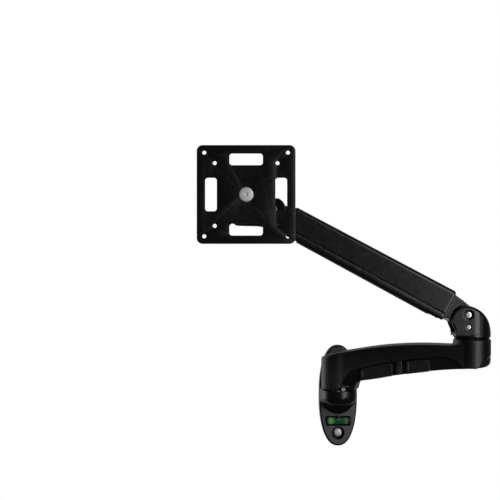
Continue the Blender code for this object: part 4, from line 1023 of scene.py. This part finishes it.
def make_head_knuckle():
    side_view = [*arc((0, 0), 14.0, 250, 110, 36),
                 *smooth_line([(3, 13.0), (9, 9.2), (14, 4.0), (19, BOSS_TOP)], 6), (52.0, BOSS_TOP),
                 (52.0, -14), *arc((45, -15), 5.0, -5, -90, 8), (20, -20.6), (10, -22), (-2, -22)]
    head = prism("head_knuckle_cast", END, side_view, -22, 22, "side")
    plan = [*arc((PAN_REACH, 0), 18.0, -80, 80, 48),
            *smooth_line([(36, 18), (28, 18.4), (20, 20.3), (12, 21.5)], 5), (-14, 21.5), (-14, -21.5),
            *smooth_line([(12, -21.5), (20, -20.3), (28, -18.4), (36, -18)], 5)]
    keep(head, prism("head_plan", END, plan, -40, 40))
    cut(head, prism("slot", END, rounded_box((-40, -17), (15, 17), 3.0), -40, 40),
        lathe("pan_bore", END, [(0, -40), (12.5, -40), (12.5, -10), (8.0, -10), (8.0, 1.1), (12.5, 1.1), (12.5, 20),
                                (0, 20)], 90, centre=(PAN_REACH, 0, 0)),
        rod("lift_hole", END, 4.2, -40, 40, (0, 0), "Y"),
        rod("link_hole", END, 3.2, -40, 40, (0, -LINK_DROP), "Y"))
    finished(cast(head, 0.5, 4, 0.4), "head_knuckle", "black_paint")
    at = (PAN_REACH, 0, 0)
    washer("pan_bush", END, 6.0, 7.7, -9.8, 0.9, "nylon", at=at)
    washer("pan_thrust_washer", END, 6.1, 12.2, 1.25, 2.4, "nylon", at=at)


def make_pan_head():
    low = BOSS_TOP - SCREEN_RISE + 0.6
    barrel = lathe("pan_head_cast", HEAD, [(0, low), (14.2, low), (15.0, low + 0.8),
                                           *arc((12.6, 9.6), 2.4, 0, 90, 6), (6.0, 12.0), (5.0, 11.4), (0, 11.4)], 96)
    ears = [*arc((-TILT_REACH, 0), 10.0, 90, 270, 40), (-4, -10.0), (-4, 10.0)]
    join(barrel, prism("ears", HEAD, ears, -14.6, 14.6, "section"))
    cut(barrel, prism("ear_slot", HEAD, rounded_box((-9.8, -60), (9.8, -15.6), 2.0), -30, 30),
        rod("tilt_hole", HEAD, 4.2, -40, 40, (-TILT_REACH, 0), "X"), rod("pan_thread", HEAD, 6.0, -40, -1.0))
    finished(cast(barrel, 0.4, 4, 0.4), "pan_head", "black_paint")
    bolt = [(0, -33.2), *arc((8.8, -32.4), 0.8, -90, 0, 4), (9.6, -28.6), (5.7, -28.6), (5.7, -14.0),
            *thread(5.7, -13.6, -2.6, 1.25, 0.4), (5.0, -2.0), (0, -2.0)]
    turned("pan_bolt", HEAD, bolt, "steel", tools=[socket(HEAD, 4.0, -50, -30.4, (0, 0), "Z")])
    washer("pan_bolt_washer", HEAD, 6.0, 11.4, -28.3, -26.5, "steel")
    at = (0, -TILT_REACH, 0)
    screw = [(0, -20.8), *arc((3.4, -20.3), 0.5, -90, 0, 3), *thread(3.9, -19.6, -8.0, 1.0, 0.35), (3.9, -7.6),
             (3.9, 16.6), (6.4, 16.6), *arc((5.5, 19.5), 0.9, 0, 90, 5), (0, 20.4)]
    turned("tilt_bolt", HEAD, screw, "dark_steel", "X", at, [socket(HEAD, 3.0, 18.0, 30, (-TILT_REACH, 0), "X")])
    nut = prism("tilt_nut_forged", HEAD, polygon(7.0, 6, (-TILT_REACH, 0)), -20.4, -16.2, "section")
    keep(nut, lathe("tilt_nut_chamfer", HEAD, [(0, -20.4), (6.1, -20.4), (7.2, -19.7), (7.2, -16.2), (0, -16.2)], 72,
                    "X", at))
    cut(nut, rod("tilt_nut_bore", HEAD, 4.2, -30, -10, (-TILT_REACH, 0), "X"))
    finished(shaded(nut), "tilt_nut", "steel")
    for name, x in (("left", -15.45), ("right", 15.65)):
        washer(f"tilt_washer_{name}", HEAD, 4.2, 7.6, -0.6, 0.6, "steel", "X", (x, -TILT_REACH, 0))


def make_tilt_block():
    block = rod("tilt_block_cast", TILT, 9.6, -9.4, 9.4, (0, 0), "X", 96)
    neck = prism("tilt_neck", TILT, rounded_box((-9.0, -7.5), (9.0, 7.5), 2.0), -18.4, 0, "side")
    flange = lathe("tilt_flange", TILT, [(0, -20.6), (18.2, -20.6), (19.0, -19.8), (19.0, -17.8), (18.0, -16.8),
                                         (12.0, -16.8), (10.0, -15.6), (0, -15.6)], 96, "Y")
    join(block, neck, flange)
    cut(block, rod("tilt_bore", TILT, 4.2, -40, 40, (0, 0), "X"),
        rod("rotate_bore", TILT, 4.2, -40, -11.5, (0, 0), "Y"))
    finished(cast(block, 0.4, 3, 0.4), "tilt_block", "black_paint")
    washer("rotate_washer", TILT, 4.3, 16.0, -0.3, 0.3, "nylon", "Y", (0, -21.05, 0))
    bolt = [(0, -27.6), (7.0, -27.6), *smooth_line([(7.4, -27.5), (8.5, -26.7), (9.0, -25.4)], 4), (9.0, -24.9),
            (4.0, -24.9), (4.0, -20.0), *thread(4.0, -19.6, -12.6, 1.0, 0.35), (3.4, -12.2), (0, -12.2)]
    turned("rotate_bolt", TILT, bolt, "zinc", "Y", (0, 0, 0), [socket(TILT, 2.6, -40, -26.0, (0, 0), "Y")])


def make_screen_plate():
    """A pressed steel plate with the 75 mm and 100 mm hole squares and four long slots."""
    half = VESA_HALF
    plate = prism("vesa_plate_pressed", TILT, rounded_box((-half, -half), (half, half), 7.0, 10), -PLATE_REACH,
                  3.0 - PLATE_REACH, "side")
    tools = [rod("screw_hole", TILT, 2.4, -40, 0, (a * pitch, b * pitch), "Y", 40)
             for pitch in (37.5, 50.0) for a in (-1, 1) for b in (-1, 1)]
    for x, z in ((0, 42), (42, 0), (0, -42), (-42, 0)):
        wide, tall = (20, 7) if x == 0 else (7, 20)
        tools.append(prism("slot", TILT, rounded_box((x - wide, z - tall), (x + wide, z + tall), 3.5, 8), -40, 0,
                           "side"))
    tools.append(rod("plate_bore", TILT, 4.3, -40, 0, (0, 0), "Y", 48))
    cut(plate, *tools)
    finished(soften(plate, 0.5, 3), "vesa_plate", "black_paint")


for build in (make_wall_screws, make_level, make_wall_pivot, make_elbow_pivot, make_lift_pins, make_tension,
              make_shell, make_bottom_cover, make_link, make_strut, make_head_knuckle, make_pan_head,
              make_tilt_block, make_screen_plate):
    build()

# ----------------------------------------------------------- floor and lighting

stage_bm = bmesh.new()
bmesh.ops.create_grid(stage_bm, x_segments=1, y_segments=1, size=4.5)
floor = from_bmesh("floor", stage_bm, Matrix.Translation((0, 0, -1.3)))
pale = Nodes("pale_floor")
floor.data.materials.append(pale.surface(
    Base_Color=pale.ramp(pale.noise(1.5, 2.0), (0.3, (0.86, 0.86, 0.86)), (0.7, (0.9, 0.9, 0.9))),
    Roughness=0.9, Emission_Color=(0.9, 0.9, 0.9, 1.0), Emission_Strength=0.7))
floor.visible_glossy = False
floor.visible_diffuse = False

world = bpy.data.worlds.new("studio")
bpy.context.scene.world = world
world.use_nodes = True
sky = world.node_tree
seen = sky.nodes["Background"]
seen.inputs["Color"].default_value = (1.0, 1.0, 1.0, 1.0)
seen.inputs["Strength"].default_value = 1.0
room = sky.nodes.new("ShaderNodeBackground")
split = sky.nodes.new("ShaderNodeSeparateXYZ")
sky.links.new(sky.nodes.new("ShaderNodeTexCoord").outputs["Generated"], split.inputs["Vector"])
depth = sky.nodes.new("ShaderNodeMapRange")  # dark on the camera's side, light behind the arm
depth.interpolation_type = "SMOOTHSTEP"
for key, value in (("From Min", 0.1), ("From Max", 1.0), ("To Min", 0.03), ("To Max", 0.3)):
    depth.inputs[key].default_value = value
sky.links.new(split.outputs["Y"], depth.inputs["Value"])
sky.links.new(depth.outputs["Result"], room.inputs["Strength"])
room.inputs["Color"].default_value = (0.94, 0.97, 1.0, 1.0)
pick = sky.nodes.new("ShaderNodeMixShader")
sky.links.new(sky.nodes.new("ShaderNodeLightPath").outputs["Is Camera Ray"], pick.inputs["Fac"])
sky.links.new(room.outputs["Background"], pick.inputs[1])
sky.links.new(seen.outputs["Background"], pick.inputs[2])
sky.links.new(pick.outputs["Shader"], sky.nodes["World Output"].inputs["Surface"])


def softbox(name, target, azimuth, elevation, distance, size, power):
    """A rectangular light. azimuth 0 is the camera's side, 90 the right."""
    a, e = math.radians(azimuth), math.radians(elevation)
    aim = Vector(target)
    place = aim + Vector((math.sin(a) * math.cos(e), -math.cos(a) * math.cos(e), math.sin(e))) * distance
    data = bpy.data.lights.new(name, "AREA")
    data.shape = "RECTANGLE"
    data.size, data.size_y = size
    data.energy = power
    light = new_object(name, data)
    light.location = place
    light.rotation_euler = (aim - place).to_track_quat("-Z", "Y").to_euler()
    return light


AIM = (0.03, -0.06, 0.08)
softbox("right_softbox", AIM, 31, 8, 1.6, (0.8, 1.5), 13)
softbox("left_softbox", AIM, -122, 4, 1.6, (1.3, 1.5), 6.5)
softbox("top_softbox", AIM, 170, 66, 1.5, (1.6, 1.0), 1.8)
bpy.context.scene.view_settings.view_transform = "Standard"
